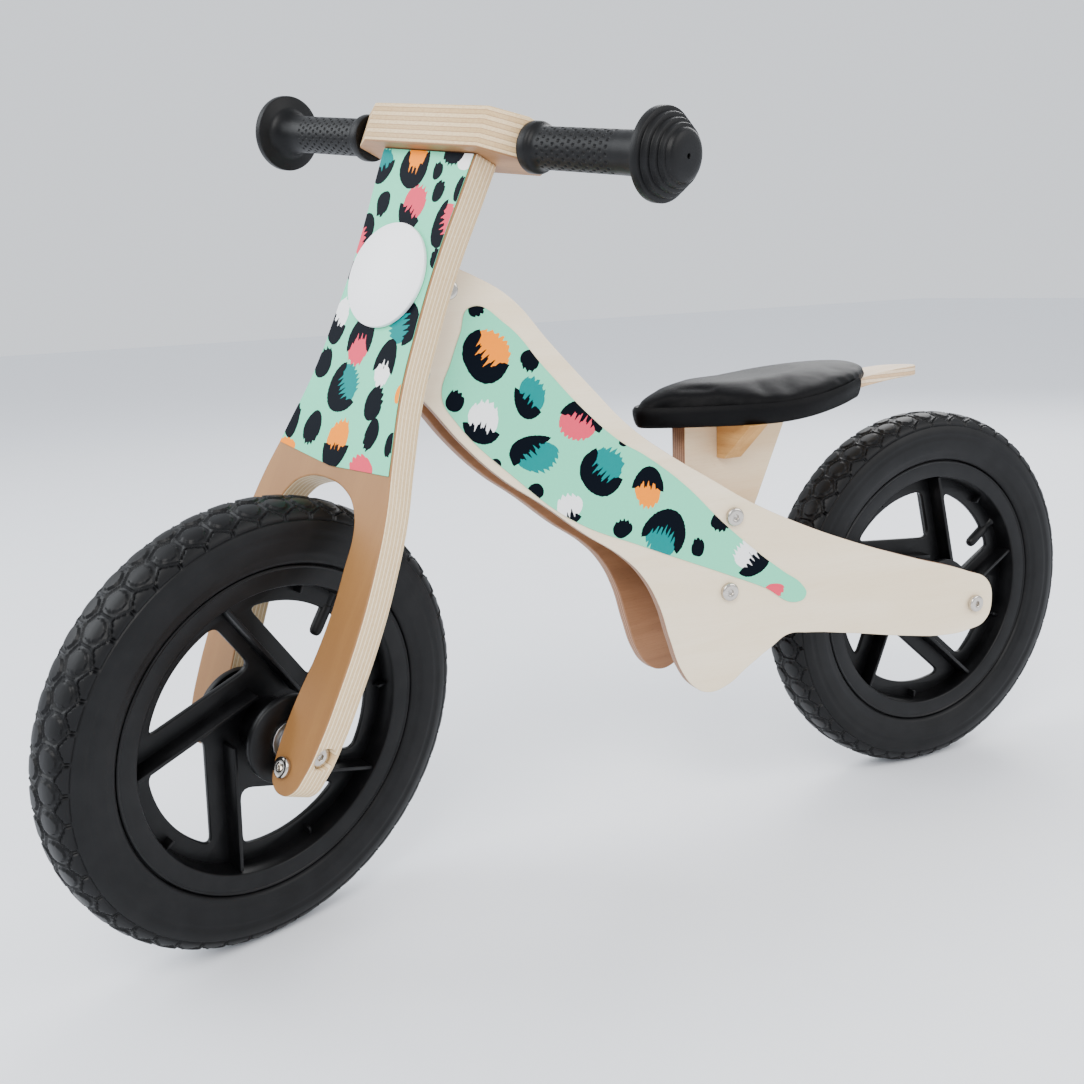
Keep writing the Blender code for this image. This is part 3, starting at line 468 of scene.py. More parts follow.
def plate(name, outlines, thickness, edge=1.2, steps=12, looks=(0, 1, 0)):
    """A flat board with rounded edges. looks are the material indices of its top, edge and bottom."""
    curve = bpy.data.curves.new(name, "CURVE")
    curve.dimensions = "2D"
    curve.fill_mode = "BOTH"
    curve.extrude = (thickness / 2 - edge) * MM
    curve.bevel_depth = edge * MM
    curve.bevel_resolution = 2
    curve.offset = -edge * MM
    curve.resolution_u = steps
    for knots in outlines:
        outline(curve, knots)
    mesh = evaluated(bpy.data.objects.new(name, curve))
    bm = bmesh.new()
    bm.from_mesh(mesh)
    bmesh.ops.remove_doubles(bm, verts=bm.verts, dist=1e-6)
    bmesh.ops.recalc_face_normals(bm, faces=bm.faces)
    for face in bm.faces:
        level = face.normal.z
        face.material_index = looks[0] if level > 0.6 else looks[2] if level < -0.6 else looks[1]
        face.smooth = abs(level) < 0.999
    bm.to_mesh(mesh)
    bm.free()
    return mesh


def curve_points(knots, count):
    """Points evenly spaced along a Catmull-Rom curve through the knots."""
    knots = np.array(knots, float)
    padded = np.vstack([2 * knots[0] - knots[1], knots, 2 * knots[-1] - knots[-2]])
    dense = []
    for a, b, c, d in zip(padded, padded[1:], padded[2:], padded[3:]):
        for t in np.linspace(0, 1, 24, endpoint=False):
            dense.append(0.5 * (2 * b + (c - a) * t + (2 * a - 5 * b + 4 * c - d) * t * t
                                + (3 * b - a - 3 * c + d) * t ** 3))
    dense = np.array(dense + [knots[-1]])
    length = np.r_[0, np.cumsum(np.linalg.norm(np.diff(dense, axis=0), axis=1))]
    spots = np.linspace(0, length[-1], count) if isinstance(count, int) else np.array(count)
    return np.stack([np.interp(spots, length, dense[:, k]) for k in (0, 1)], -1), length[-1]


def smoothstep(low, high, value):
    t = np.clip((value - low) / (high - low), 0, 1)
    return t * t * (3 - 2 * t)


def mirrored(half):
    return half + [(-x, *rest) for x, *rest in reversed(half) if x]


def square(points):
    """The points as knots with straight sides."""
    return [(x, y, CORNER) for x, y in points]


def around(count):
    return np.linspace(0, 2 * math.pi, count, endpoint=False)


def circle(radius, count):
    return square([(radius * math.cos(a), radius * math.sin(a)) for a in around(count)])


# Wooden boards

def head_point(ahead, along):
    """Panel x and z of a place on the centre plane given ahead of and along the steering axis."""
    panel = panel_matrix(1)
    spot = Vector(JOINTS["steering"]["pos_m"])
    straight = HEAD_AXIS.cross(Vector((0, -1, 0)))
    spot += (straight * ahead + HEAD_AXIS * along) * MM
    return (spot.x - BIKE.translation.x) / MM / panel.col[0].x, (spot.z - BIKE.translation.z) / MM


def panel_outline():
    head = [(*head_point(5, 323), CORNER), head_point(-17, 323)]
    top = [(394, 418), (367, 387), (338, 355), (308, 324), (277, 301), (245, 281), (211, 260)]
    stay = [(169, 239), (113, 216), (61, 198), (6, 180)]
    dropout = [(-14, 170), (-19, 152), (-13, 136), (4, 130)]
    under = [(30, 129), (67, 134), (120, 144), (160, 150.5), (178, 151.5)]
    belly = [(192, 144), (215, 130), (232, 119), (248, 116), (260, 122), (271, 137), (280, 162)]
    rise = [(289, 191), (301, 213), (316, 229), (347, 251), (376, 274), (405, 295), (432, 321)]
    chin = [(454, 348), head_point(-7, 237), head_point(2.5, 243), head_point(5, 254)]
    return head + top + stay + dropout + under + belly + rise + chin


def sticker_outline():
    top = [(423, 413), (399, 401), (372, 370), (343, 338), (316, 314), (298, 303), (267, 279), (234, 246)]
    tail = [(201, 217), (183, 203), (165, 189), (162, 182), (168, 177)]
    under = [(201, 193), (235, 208), (300, 236), (354, 261), (397, 296), (438, 339)]
    nose = [(446, 355), (438, 379), (431, 396)]
    return top + tail + under + nose


def fork_outline():
    outer = [(0, FORK_TOP, CORNER), (45, FORK_TOP, CORNER)]
    waist = [(43.6, 366), (40.6, 320), (42, 270), (46, 230), (56, 190), (66, 154)]
    leg = [(71.5, 117), (73.6, 85), (72.3, 40), (70, 13), (65, -13), (59, -26), (49, -31)]
    seat = [(39, -28), (34.5, -18), (33.3, 0), (34.2, 16)]
    arch = [(36.5, 33), (40.5, 56), (43, 84), (42.2, 115), (40, 141)]
    crown = [(34, 153), (24, 161.5), (0, 166.5)]
    return mirrored(outer + waist + leg + seat + arch + crown)


def fork_sticker_outline():
    margin = 1.5
    edge = [(43.6, 366), (40.6, 320), (42, 270), (46, 230), (56, 190)]
    half = [(0, FORK_TOP - 0.7, CORNER), (45 - margin, FORK_TOP - 0.7, CORNER)]
    half += [(x - margin, z) for x, z in edge]
    half += [(58.5 - margin, 180, CORNER), (0, 175, CORNER)]
    return mirrored(half)


SIDE_SPOTS = [
    (412.8, 381.1, 16.5, 17.5, "orange", -40, 230, 0.45),
    (383.3, 350.7, 11.5, 14, "teal", -50, 160, 0.35),
    (418.4, 336.3, 13, 14.5, "white", -70, 150, 0.45),
    (347.0, 331.1, 17, 13.5, "pink", 125, 190, 0.45),
    (381.5, 311.0, 18, 13, "teal", 50, 160, 0.45),
    (330.8, 294.6, 16.5, 16.8, "teal", -40, 230, 0.45),
    (295.7, 278.7, 12, 14.5, "orange", 100, 190, 0.42),
    (357.0, 270.7, 11, 10.5, "white", -100, 80, 0.6),
    (283.4, 243.7, 17, 17, "teal", 120, 240, 0.45),
    (210.3, 217.6, 15, 14.5, "white", -130, 170, 0.1),
    (191.4, 188.4, 9, 6, "pink", 0, 0, 0),
    (382.4, 375.7, 6.8, 7.4, "navy", 0, 0, 0),
    (437.3, 351.8, 6.2, 7.4, "navy", 0, 0, 0),
    (382.7, 285.0, 6.2, 6, "navy", 0, 0, 0),
    (316.8, 251.1, 7.4, 6.8, "navy", 0, 0, 0),
    (256.0, 230.1, 5.2, 7.4, "navy", 0, 0, 0),
    (236.7, 247.5, 8.5, 7, "navy", 0, 0, 0),
    (419.1, 411.5, 6, 4.6, "navy", 0, 0, 0),
    (411.3, 307.0, 4.5, 4, "navy", 0, 0, 0),
    (314.2, 313.5, 3.4, 3, "navy", 0, 0, 0),
]
FORK_SPOTS = [
    (-38.5, 375.5, 9.5, 12, "teal", -75, 190, 0.3),
    (-7.5, 377.0, 12.5, 15, "orange", -90, 260, 0.5),
    (26.0, 386.5, 9.5, 7, "navy", 0, 0, 0),
    (39.0, 383.0, 7.5, 7, "white", 0, 0, 0),
    (15.8, 374.5, 4.6, 5.6, "navy", 0, 0, 0),
    (41.0, 364.0, 4.6, 8, "navy", 0, 0, 0),
    (22.2, 361.4, 5, 7.2, "navy", 0, 0, 0),
    (-27.1, 349.9, 6.4, 8.4, "navy", 0, 0, 0),
    (2.5, 350.0, 11.5, 15, "pink", -110, 150, 0.45),
    (36.6, 341.0, 9.5, 15, "pink", -150, 210, 0.4),
    (-36.5, 328.0, 7.5, 14, "pink", 40, 240, 0.35),
    (38.5, 318.8, 4.6, 6.5, "navy", 0, 0, 0),
    (-35.0, 303.0, 5, 9, "navy", 0, 0, 0),
    (-35.0, 268.5, 8.5, 16, "white", -110, 200, 0.25),
    (29.0, 274.5, 12.5, 14, "teal", 20, 190, 0.45),
    (-7.4, 258.0, 11, 17, "pink", 95, 230, 0.45),
    (22.5, 247.0, 9, 15.5, "white", 90, 220, 0.1),
    (-37.1, 238.5, 8, 10.5, "navy", 0, 0, 0),
    (-9.7, 226.0, 14, 16, "teal", -140, 230, 0.45),
    (23.6, 221.0, 8.4, 11, "navy", 0, 0, 0),
    (-50.5, 196.0, 6.4, 12.5, "navy", 0, 0, 0),
    (-28.1, 195.5, 8.6, 11, "navy", 0, 0, 0),
    (0.1, 189.5, 11.5, 16.5, "orange", -85, 180, 0.1),
    (30.3, 202.0, 6.4, 10, "navy", 0, 0, 0),
    (49.4, 199.0, 3.8, 8, "navy", 0, 0, 0),
    (30.3, 179.0, 11.5, 8.5, "pink", 0, 0, 0),
    (-49.0, 179.5, 10, 4.5, "orange", 0, 0, 0),
    (43.8, 231.0, 3, 6.5, "orange", 0, 0, 0),
]


def brush_blob(rng, rx, ry, rough_at, count=72):
    """A brush dab: a wavering oval with a few dry-bristle teeth on one side."""
    angle = around(count)
    reach = np.ones(count)
    for k in (2, 3, 4):
        reach += 0.12 / k * rng.uniform(0.4, 1) * np.cos(k * angle + rng.uniform(0, 2 * math.pi))
    near = smoothstep(0.35, 0.8, np.cos(angle - rough_at))
    reach += rng.uniform(-0.015, 0.015, count)
    heading = np.array([math.cos(rough_at), math.sin(rough_at)])
    points = np.stack([rx * reach * np.cos(angle), ry * reach * np.sin(angle)], -1)
    lane = points @ np.array([-heading[1], heading[0]])
    teeth = 0.14 * np.cos(lane * 2 * math.pi / rng.uniform(3.0, 4.2) + rng.uniform(0, 6))
    teeth += 0.07 * np.cos(lane * 2 * math.pi / 1.7 + rng.uniform(0, 6))
    return points + (near * teeth * min(rx, ry))[:, None] * heading


def brush_arc(rng, rx, ry, middle, span, inner, count=72):
    """A curved brush stroke hugging an oval: fat in the middle, its inner side torn into bristles."""
    angle = np.linspace(middle - span / 2, middle + span / 2, count)
    fade = np.sin(np.linspace(0.10, math.pi - 0.10, count)) ** 0.6
    wave = 0.04 * np.cos(3 * angle + rng.uniform(0, 6))
    outer = 1.06 + wave + rng.uniform(-0.015, 0.015, count)
    inside = outer - (1.30 - 0.8 * inner) * fade
    outer = np.stack([rx * outer * np.cos(angle), ry * outer * np.sin(angle)], -1)
    inside = np.stack([rx * inside * np.cos(angle), ry * inside * np.sin(angle)], -1)
    heading = np.array([math.cos(middle), math.sin(middle)])
    lane = inside @ np.array([-heading[1], heading[0]])
    teeth = 0.20 * np.cos(lane * 2 * math.pi / rng.uniform(3.2, 4.6) + rng.uniform(0, 6))
    teeth += 0.10 * np.cos(lane * 2 * math.pi / 1.9 + rng.uniform(0, 6))
    inside = inside - (teeth * min(rx, ry) * smoothstep(0.25, 0.7, fade))[:, None] * heading
    return np.vstack([outer, inside[::-1]])


def spot_plates(spots, border, seed):
    """Thin printed layers by colour: patches first, then navy strokes over them, trimmed to the film."""
    rng = np.random.default_rng(seed)
    layers = {}
    for x, z, rx, rz, colour, middle, span, inner in spots:
        bristle = rng.uniform(0.6, 2.4) * (1 if rng.uniform() > 0.5 else -1)
        if span:
            lag = math.radians(middle) + math.pi
            shift_by = np.array([rx * math.cos(lag), rz * math.sin(lag)]) * 0.12
            shape = brush_blob(rng, rx * 0.86, rz * 0.86, lag)
            layers.setdefault(colour, []).append(shape + (x, z) + shift_by)
            stroke = brush_arc(rng, rx, rz, math.radians(middle), math.radians(span), inner)
            layers.setdefault("navy", []).append(stroke + (x, z))
        else:
            layers.setdefault(colour, []).append(brush_blob(rng, rx, rz, bristle) + (x, z))
    result = {}
    for colour, shapes in layers.items():
        plates = []
        for shape in shapes:
            curve = bpy.data.curves.new("spot", "CURVE")
            curve.dimensions = "2D"
            curve.fill_mode = "BOTH"
            curve.extrude = 0.02 * MM
            spline = curve.splines.new("POLY")
            spline.points.add(len(shape) - 1)
            for point, (px, py) in zip(spline.points, shape):
                point.co = (px * MM, py * MM, 0, 1)
            spline.use_cyclic_u = True
            plates.append((evaluated(bpy.data.objects.new("spot", curve)), Matrix()))
        inside = plate("border", [border], 3, 0.001, 12)
        result[colour] = tidy_mesh(cut(tidy_mesh(join("spots", plates)), inside, "INTERSECT"))
    return result


def add_spots(name, spots, border, seed, place, out, body):
    """Ink layers on the film. place maps the film's flat frame into the row frame; out is +1 or -1 along
    its z, away from the board."""
    for colour, mesh in spot_plates(spots, border, seed).items():
        level = out * (FILM_THICK / 2 + (NAVY_LEVEL if colour == "navy" else INK_LEVEL))
        piece(f"{name}_{colour}_spots", mesh, [colour], place @ shift(0, 0, level), body, "printed_film")


def add_panels():
    for word, side in SIDES.items():
        # The inner face takes the brown look: partly board colour, partly painted shade between the panels
        looks = (2, 1, 0) if side == 1 else (0, 1, 2)
        board = plate("side_panel", [panel_outline()], PANEL_THICK, 0.9, 12, looks)
        middle = panel_matrix(side) @ shift(0, -side * PANEL_THICK / 2, 0) @ FLAT_TO_SIDE
        piece(f"{word}_side_board", board, ["birch", "panel_edge", "brown"], middle, "frame", "birch_ply",
              f"{word}_side_panel")
        film = plate("side_film", [sticker_outline()], FILM_THICK, 0.1, 12, (0, 0, 0))
        skin = panel_matrix(side) @ shift(0, side * 0.5, 0) @ FLAT_TO_SIDE
        piece(f"{word}_side_film", film, ["mint"], skin, "frame", "printed_film", f"{word}_side_sticker")
        add_spots(f"{word}_side", SIDE_SPOTS, sticker_outline(), 7 + side, skin, -side, "frame")


def lathe_cutter(profile):
    mesh = turned("cutter", profile, 48, closed=False)
    for polygon in mesh.polygons:
        polygon.material_index = 1
    return mesh


def add_fork():
    board = plate("fork_board", [fork_outline()], FORK_THICK, 1.3, 12, (0, 1, 0))
    to_board = (shift(AXLE_LEAD, 0, 0) @ FLAT_TO_BOARD).inverted()
    bore = lathe_cutter([(0.01, 90), (7.9, 90), (7.9, 60), (3.4, 60), (3.4, 48.4), (5.4, 48.4),
                         (5.4, 25), (0.01, 25)])
    for side in SIDES.values():
        tool = bore.copy()
        tool.transform(to_board @ shift(AXLE_LEAD, 0, 0) @ outward(side))
        board = cut(board, tool)
    place = STEER @ shift(AXLE_LEAD, 0, 0) @ FLAT_TO_BOARD
    piece("fork_ply_board", board, ["kraft", "fork_edge"], place, "fork", "tan_ply", "fork_board")
    film = plate("fork_film", [fork_sticker_outline()], FILM_THICK, 0.1, 12, (0, 0, 0))
    skin = STEER @ shift(FRONT_FACE + 0.5, 0, 0) @ FLAT_TO_BOARD
    piece("fork_film", film, ["mint"], skin, "fork", "printed_film", "fork_sticker")
    add_spots("fork", FORK_SPOTS, fork_sticker_outline(), 21, skin, 1, "fork")
    disc = [(0.01, 0), (34.2, 0), (34.8, 0.3), (35, 0.9), (35, 2.1), (34.8, 2.7), (34.2, 3), (0.01, 3)]
    badge = turned("badge", disc, 128, closed=False)
    place = STEER @ shift(FRONT_FACE + 1.0, 0, BADGE_Z) @ POINT_FORWARD
    piece("round_badge", badge, ["badge"], place, "fork", "white_plastic", "name_badge")


def plank_rise(x):
    """How far the plank has risen at x: a double bend towards its tail."""
    share = np.clip((RISE_FRONT - x) / RISE_LENGTH, 0, 1)
    return PLANK_RISE * share * share * (3 - 2 * share)


def cushion_half_width(x):
    along = np.clip((np.asarray(x, float) - CUSHION_REAR) / (CUSHION_NOSE - CUSHION_REAR), 0, 1)
    ahead = (along - CUSHION_WIDEST) / (1 - CUSHION_WIDEST)
    rear = np.sqrt(np.maximum(0.0, 1 - (1 - np.minimum(along / CUSHION_WIDEST, 1.0)) ** 1.8))
    front = np.maximum(np.cos(math.pi / 2 * np.maximum(0.0, ahead)), 0) ** 0.8
    nose = NOSE_HALF * np.sqrt(np.maximum(0.0, 1 - np.maximum(0.0, (along - 0.86) / 0.14) ** 2))
    return np.maximum(CUSHION_HALF * rear * front, nose * (along > CUSHION_WIDEST))


def plank_half_outline():
    tail = [(12, 0), (15, 8), (24, 14), (42, 17), (66, 18.5), (84, 20)]
    under = [(x, float(cushion_half_width(x)) - PLANK_INSET) for x in (106, 130, 160, 190, 220, 248)]
    return tail + under + [(269, 9), (276, 0)]


def add_seat():
    half = plank_half_outline()
    whole = half + [(x, -y) for x, y in reversed(half[1:-1])]
    mesh = plate("plank", [whole], PLANK_THICK, 0.9, 10, (0, 1, 0))
    bm = bmesh.new()
    bm.from_mesh(mesh)
    for station in np.linspace(RISE_FRONT - RISE_LENGTH, RISE_FRONT, 30):
        everything = bm.verts[:] + bm.edges[:] + bm.faces[:]
        bmesh.ops.bisect_plane(bm, geom=everything, plane_co=(station * MM, 0, 0), plane_no=(1, 0, 0))
    for vert in bm.verts:
        vert.co.z += float(plank_rise(vert.co.x / MM)) * MM
    for face in bm.faces:
        face.smooth = True
    bm.to_mesh(mesh)
    bm.free()
    mesh.set_sharp_from_angle(angle=math.radians(14))
    level = BIKE @ shift(0, 0, PLANK_BOTTOM + PLANK_THICK / 2)
    piece("bent_seat_plank", mesh, ["plank", "plank_edge"], level, "frame", "birch_ply", "seat_plank")
    knee, lean, top, bottom = (180.9, 247.0), 0.497, PLANK_BOTTOM - 0.3, 172.0
    rising = [(x, top + float(plank_rise(x))) for x in (RISE_FRONT, 187, 173, 160, 146.6)]
    front = 244.5
    corners = [(front, top), *rising, knee, (knee[0] + lean * (knee[1] - bottom), bottom), (front, bottom)]
    post = plate("post", [square(corners)], 18, 0.9, 4, (0, 1, 0))
    piece("seat_post_board", post, ["post", "panel_edge"], BIKE @ FLAT_TO_SIDE, "frame", "birch_ply",
          "seat_post")
    add_cushion()


def cushion_start(shrink):
    """The pad before it is inflated: a rounded pear, full at its rim and crowned above."""
    bm = bmesh.new()
    bmesh.ops.create_uvsphere(bm, u_segments=96, v_segments=40, radius=1)
    middle = (CUSHION_NOSE + CUSHION_REAR) / 2
    reach_x = (CUSHION_NOSE - CUSHION_REAR) / 2
    for vert in bm.verts:
        reach = math.hypot(vert.co.x, vert.co.y)
        spread = reach ** (0.45 if vert.co.z > 0 else 0.2)
        side = vert.co.y / reach if reach > 1e-6 else 0.0
        ahead = vert.co.x / reach if reach > 1e-6 else 0.0
        x = middle + (reach_x - shrink) * ahead * spread
        width = float(cushion_half_width(middle + reach_x * ahead)) - shrink
        y = math.copysign(max(width, 0.0), side) * spread if abs(side) > 1e-6 else 0.0
        lift = (CUSHION_THICK - shrink) * (vert.co.z + 1) / 2
        vert.co = Vector((x, y, CUSHION_BOTTOM + float(plank_rise(x)) + lift)) * MM
    mesh = bpy.data.meshes.new("saddle_cushion_cover")
    bm.to_mesh(mesh)
    bm.free()
    return mesh


def cushion_lip():
    """The cover's rolled edge, which hangs round the plank's edge and ends where the bare tail comes out."""
    under = [knot for knot in plank_half_outline() if knot[0] > 100]
    path, _ = curve_points(under + [(x, -y) for x, y in reversed(under[:-1])], 160)
    along = np.gradient(path, axis=0)
    along /= np.linalg.norm(along, axis=1, keepdims=True)
    out = np.stack([along[:, 1], -along[:, 0]], -1)
    out *= np.sign(out[len(out) // 2, 0])
    section = [(0.4, 1.0), (0.9, -0.3), (1.9, -0.6), (3.2, 0.0), (4.6, 2.0), (5.7, 5.0), (6.5, 9.0),
               (6.6, 12.5), (5.0, 15.0), (0.4, 13.0)]
    rows = []
    for reach, height in section:
        level = PLANK_BOTTOM + height + plank_rise(path[:, 0])
        rows.append(np.column_stack([path + out * reach, level]))
    return grid_mesh("lip", np.stack(rows, 1), wrap_rows=False, cap=True)


def add_cushion():
    """The padded cover: inflated as cloth, hollowed below for the plank, smoothed and subdivided."""
    shrink, farthest = (1.6), 0.005
    obj = bpy.data.objects.new("cushion_work", cushion_start(shrink))
    bpy.context.scene.collection.objects.link(obj)
    bpy.context.view_layer.objects.active = obj
    remesh = obj.modifiers.new("remesh", "REMESH")
    remesh.mode = "VOXEL"
    remesh.voxel_size = 0.0045
    remesh.use_smooth_shade = True
    with bpy.context.temp_override(object=obj, active_object=obj):
        bpy.ops.object.modifier_apply(modifier=remesh.name)
    start = np.array([v.co for v in obj.data.vertices])
    cloth = obj.modifiers.new("cloth", "CLOTH")
    cloth.settings.use_pressure = True
    cloth.settings.uniform_pressure_force = 4
    cloth.settings.effector_weights.gravity = 0
    cloth.settings.mass = 0.3
    cloth.point_cache.frame_start, cloth.point_cache.frame_end = 1, 20
    for step in range(1, 21):
        bpy.context.scene.frame_set(step)
    with bpy.context.temp_override(object=obj, active_object=obj):
        bpy.ops.object.modifier_apply(modifier=cloth.name)
    bpy.context.scene.frame_set(1)
    moved = np.array([v.co for v in obj.data.vertices]) - start
    length = np.linalg.norm(moved, axis=1, keepdims=True)
    moved *= np.minimum(1, farthest / np.maximum(length, 1e-9))
    end = start + moved
    x, z = end[:, 0] / MM, end[:, 2] / MM
    stations, edges = zip(*plank_half_outline())
    inside = np.interp(x, stations, edges, 0, 0) + 0.6 - np.abs(end[:, 1] / MM)
    recess = PLANK_BOTTOM + PLANK_THICK + 0.5 - CUSHION_BOTTOM
    base = CUSHION_BOTTOM + plank_rise(x)
    z = np.maximum(z, base + recess * smoothstep(-2.5, 0, inside))
    end[:, 2] = z * MM
    for vert, spot in zip(obj.data.vertices, end):
        vert.co = spot
    smooth = obj.modifiers.new("smooth", "SMOOTH")
    smooth.factor, smooth.iterations = 0.5, 2
    finer = obj.modifiers.new("finer", "SUBSURF")
    finer.levels = finer.render_levels = 1
    mesh = bpy.data.meshes.new_from_object(obj.evaluated_get(bpy.context.evaluated_depsgraph_get()))
    bpy.data.objects.remove(obj, do_unlink=True)
    mesh.materials.clear()
    mesh = join("saddle_cushion_cover", [(mesh, Matrix()), (cushion_lip(), Matrix())])
    cover = piece("saddle_cushion_cover", mesh, ["saddle"], BIKE, "frame", "saddle_leatherette",
                  "saddle_cushion")


# Fasteners

def bolt_mesh(name, head_r, head_h, socket_r, steps=48):
    """A low round head with a hexagonal socket and a slightly worn rim, pointing along +z."""
    straight = head_h * 0.55
    rows = [(0.01, 0, 0), (head_r - 0.2, 0, 0), (head_r, 0.3, 0), (head_r, straight, 0)]
    for angle in (20, 45, 70):
        a = math.radians(angle)
        rows.append((head_r - 1.0 * (1 - math.cos(a)), straight + (head_h * 0.45 - 0.25) * math.sin(a), 0))
    rows += [(head_r - 1.5, head_h - 0.05, 0), (head_r - 2.6, head_h, 0)]
    rows += [(socket_r + 0.45, head_h, 0.5), (socket_r, head_h - 0.35, 1)]
    rows += [(socket_r, head_h - 2.4, 1), (0.01, head_h - 2.9, 1)]
    theta = around(steps)
    hexagon = math.cos(math.pi / 6) / np.cos((theta + math.pi / 6) % (math.pi / 3) - math.pi / 6)
    points = []
    for radius, z, corner in rows:
        reach = radius * (1 - corner + corner * hexagon)
        points.append(np.stack([reach * np.cos(theta), reach * np.sin(theta), np.full(steps, z)], -1))
    return grid_mesh(name, np.array(points), wrap_rows=False, cap=True)


def add_bolts():
    head = bolt_mesh("bolt_head", 7, 3.6, 2.5)
    threads = turned("shank", [(0.01, -14), (2.6, -14), (2.6, 0.2), (0.01, 0.2)], 24, closed=False)
    bolt = join("button_bolt", [(head, Matrix()), (threads, Matrix())])
    for word, side in SIDES.items():
        panel = panel_matrix(side)
        spots = {
            f"{word}_upper_head_bolt": head_point(-4, 308),
            f"{word}_lower_head_bolt": head_point(-4, 250),
            f"{word}_upper_seat_post_bolt": (225.0, 250.0),
            f"{word}_lower_seat_post_bolt": (230.0, 193.0),
        }
        for name, (x, z) in spots.items():
            place = panel @ shift(x, side * 0.3, z) @ outward(side)
            piece(f"{name}_steel", bolt, ["nickel"], place, "frame", "nickel_steel", name)
        seat = (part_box(f"{word}_rear_axle_bolt")[0 if side == -1 else 1].y - REAR.y) / MM - side * 4.0
        place = Matrix.Translation(REAR) @ shift(0, seat, 0) @ outward(side)
        piece(f"{word}_rear_axle_bolt_steel", bolt, ["nickel"], place, "frame", "nickel_steel",
              f"{word}_rear_axle_bolt")
        place = STEER @ shift(AXLE_LEAD, side * FRONT_BOLT_SEAT, 0) @ outward(side)
        piece(f"{word}_front_axle_bolt_steel", bolt, ["nickel"], place, "fork", "nickel_steel",
              f"{word}_front_axle_bolt")
        place = STEER @ shift(FRONT_FACE + 0.3, side * LEG_BOLT_Y, LEG_BOLT_Z) @ POINT_FORWARD
        piece(f"{word}_fork_leg_bolt_steel", bolt, ["nickel"], place, "fork", "nickel_steel",
              f"{word}_fork_leg_bolt")


# Handlebar and grips

def add_handlebar():
    front, back = AXLE_LEAD + 20.5, AXLE_LEAD - 24
    half = [(front, 54), (31.5, 76.5), (10, 76.5), (5, 75), (back, 71)]
    knots = square(half + [(x, -y) for x, y in reversed(half)])
    # The block's underside takes a darker copy of its wood: painted shade
    block = plate("handlebar_block", [knots], BLOCK_TOP - BLOCK_BOTTOM, 1.7, 12, (0, 1, 2))
    level = STEER @ shift(0, 0, (BLOCK_TOP + BLOCK_BOTTOM) / 2)
    piece("handlebar_ply_block", block, ["block_top", "block_edge", "block_under_painted_shade"], level, "fork", "tan_ply",
          "handlebar_block")
    grip = grip_mesh()
    for word, side in SIDES.items():
        piece(f"{word}_rubber_grip", grip, ["grip"], STEER @ shift(BAR_X, 0, BAR_Z) @ outward(side), "fork",
              "grip_rubber", f"{word}_grip")


def grip_mesh():
    """A bell collar, a dimpled handle and a mushroom end in four steps."""
    before = [(8.9, 77), (14.4, 77), (15.3, 77.4), (15.7, 78.4), (15.7, 83.4), (15.3, 84.5), (14.4, 85.2),
              (13.3, 86.2), (12.9, 88)]
    flare = [(12.8, 152), (12.9, 158), (13.3, 164), (14.3, 169), (15.8, 172.4), (17.4, 174.2), (19, 175)]
    rings = [(25.6, 175.4), (26.3, 175.9), (26.5, 176.7), (26.5, 180.3), (26.2, 181), (25.4, 181.3),
             (23.6, 181.5), (23.3, 182), (23.3, 184.7), (23, 185.3), (22.3, 185.5),
             (20.6, 185.7), (20.3, 186.2), (20.3, 188.6), (20, 189.2), (19.3, 189.4),
             (18, 189.6), (17.7, 190.1), (17.7, 192), (17.4, 192.6), (16.7, 192.8), (15.6, 193),
             (15.3, 193.5), (14.9, 194.9), (13.6, 195.9), (11, 196.6), (7, 196.9), (1.6, 197),
             (1.3, 196.4), (1.3, 193.5), (0.01, 193.3)]
    steps = 240
    theta = around(steps)
    handle = 12.75
    tube = [(handle, u) for u in np.arange(89, 151.9, 0.5)]
    rows = np.array(before + tube + flare + rings)
    reach = np.repeat(rows[:, :1], steps, 1)
    u = np.repeat(rows[:, 1:], steps, 1)
    pitch, dimples, first = 4.2, 18, 92
    line = np.round((u - first) / pitch)
    phase = theta[None] / (2 * math.pi) * dimples + 0.5 * (line % 2)
    across = (phase - np.round(phase)) * 2 * math.pi * handle / dimples
    along = u - first - line * pitch
    distance = np.hypot(across, along)
    inside = (line >= 0) & (u < 150) & (u > 90.5)
    reach = reach - inside * 0.75 * (1 - smoothstep(0.55, 1.25, distance))
    points = np.stack([reach * np.cos(theta), reach * np.sin(theta), u], -1)
    return grid_mesh("rubber_grip", points, cap=True)


# Wheels

def tread_height(s, v):
    """Relief of the tread in millimetres: s runs round the crown, v across from the centre line."""
    pitch = 2 * math.pi * WHEEL_R / 48
    gap = pitch * math.sqrt(3) / 2
    distances, rows = [], []
    for row in (-2, -1, 0, 1):
        lag = (row % 2) * pitch / 2
        column = np.round((s - lag) / pitch)
        for extra in (-1, 0, 1):
            x = (column + extra) * pitch + lag
            distances.append(np.hypot(s - x, v - (row + 0.5) * gap))
            rows.append(row)
    order = np.argsort(np.array(distances), axis=0)
    best, second, third = np.take_along_axis(np.array(distances), order, 0)[:3]
    centre_row = np.array(rows)[order[0]]
    border = (second ** 2 - best ** 2) / (2 * pitch)
    corner = (third ** 2 - best ** 2) / (2 * pitch)
    outer = (centre_row == -2) | (centre_row == 1)
    pad = 1.25 * (1 - smoothstep(6.9, 7.3, best)) * ~outer
    block = 1.2 * smoothstep(1.4, 1.8, border) * outer
    ridge = 0.85 * (1 - smoothstep(0.35, 0.7, border))
    stud = 1.3 * (1 - smoothstep(0.8, 1.3, corner))
    relief = np.maximum.reduce([pad, block, ridge, stud])
    return relief * (1 - smoothstep(23.6, 24.3, np.abs(v)))


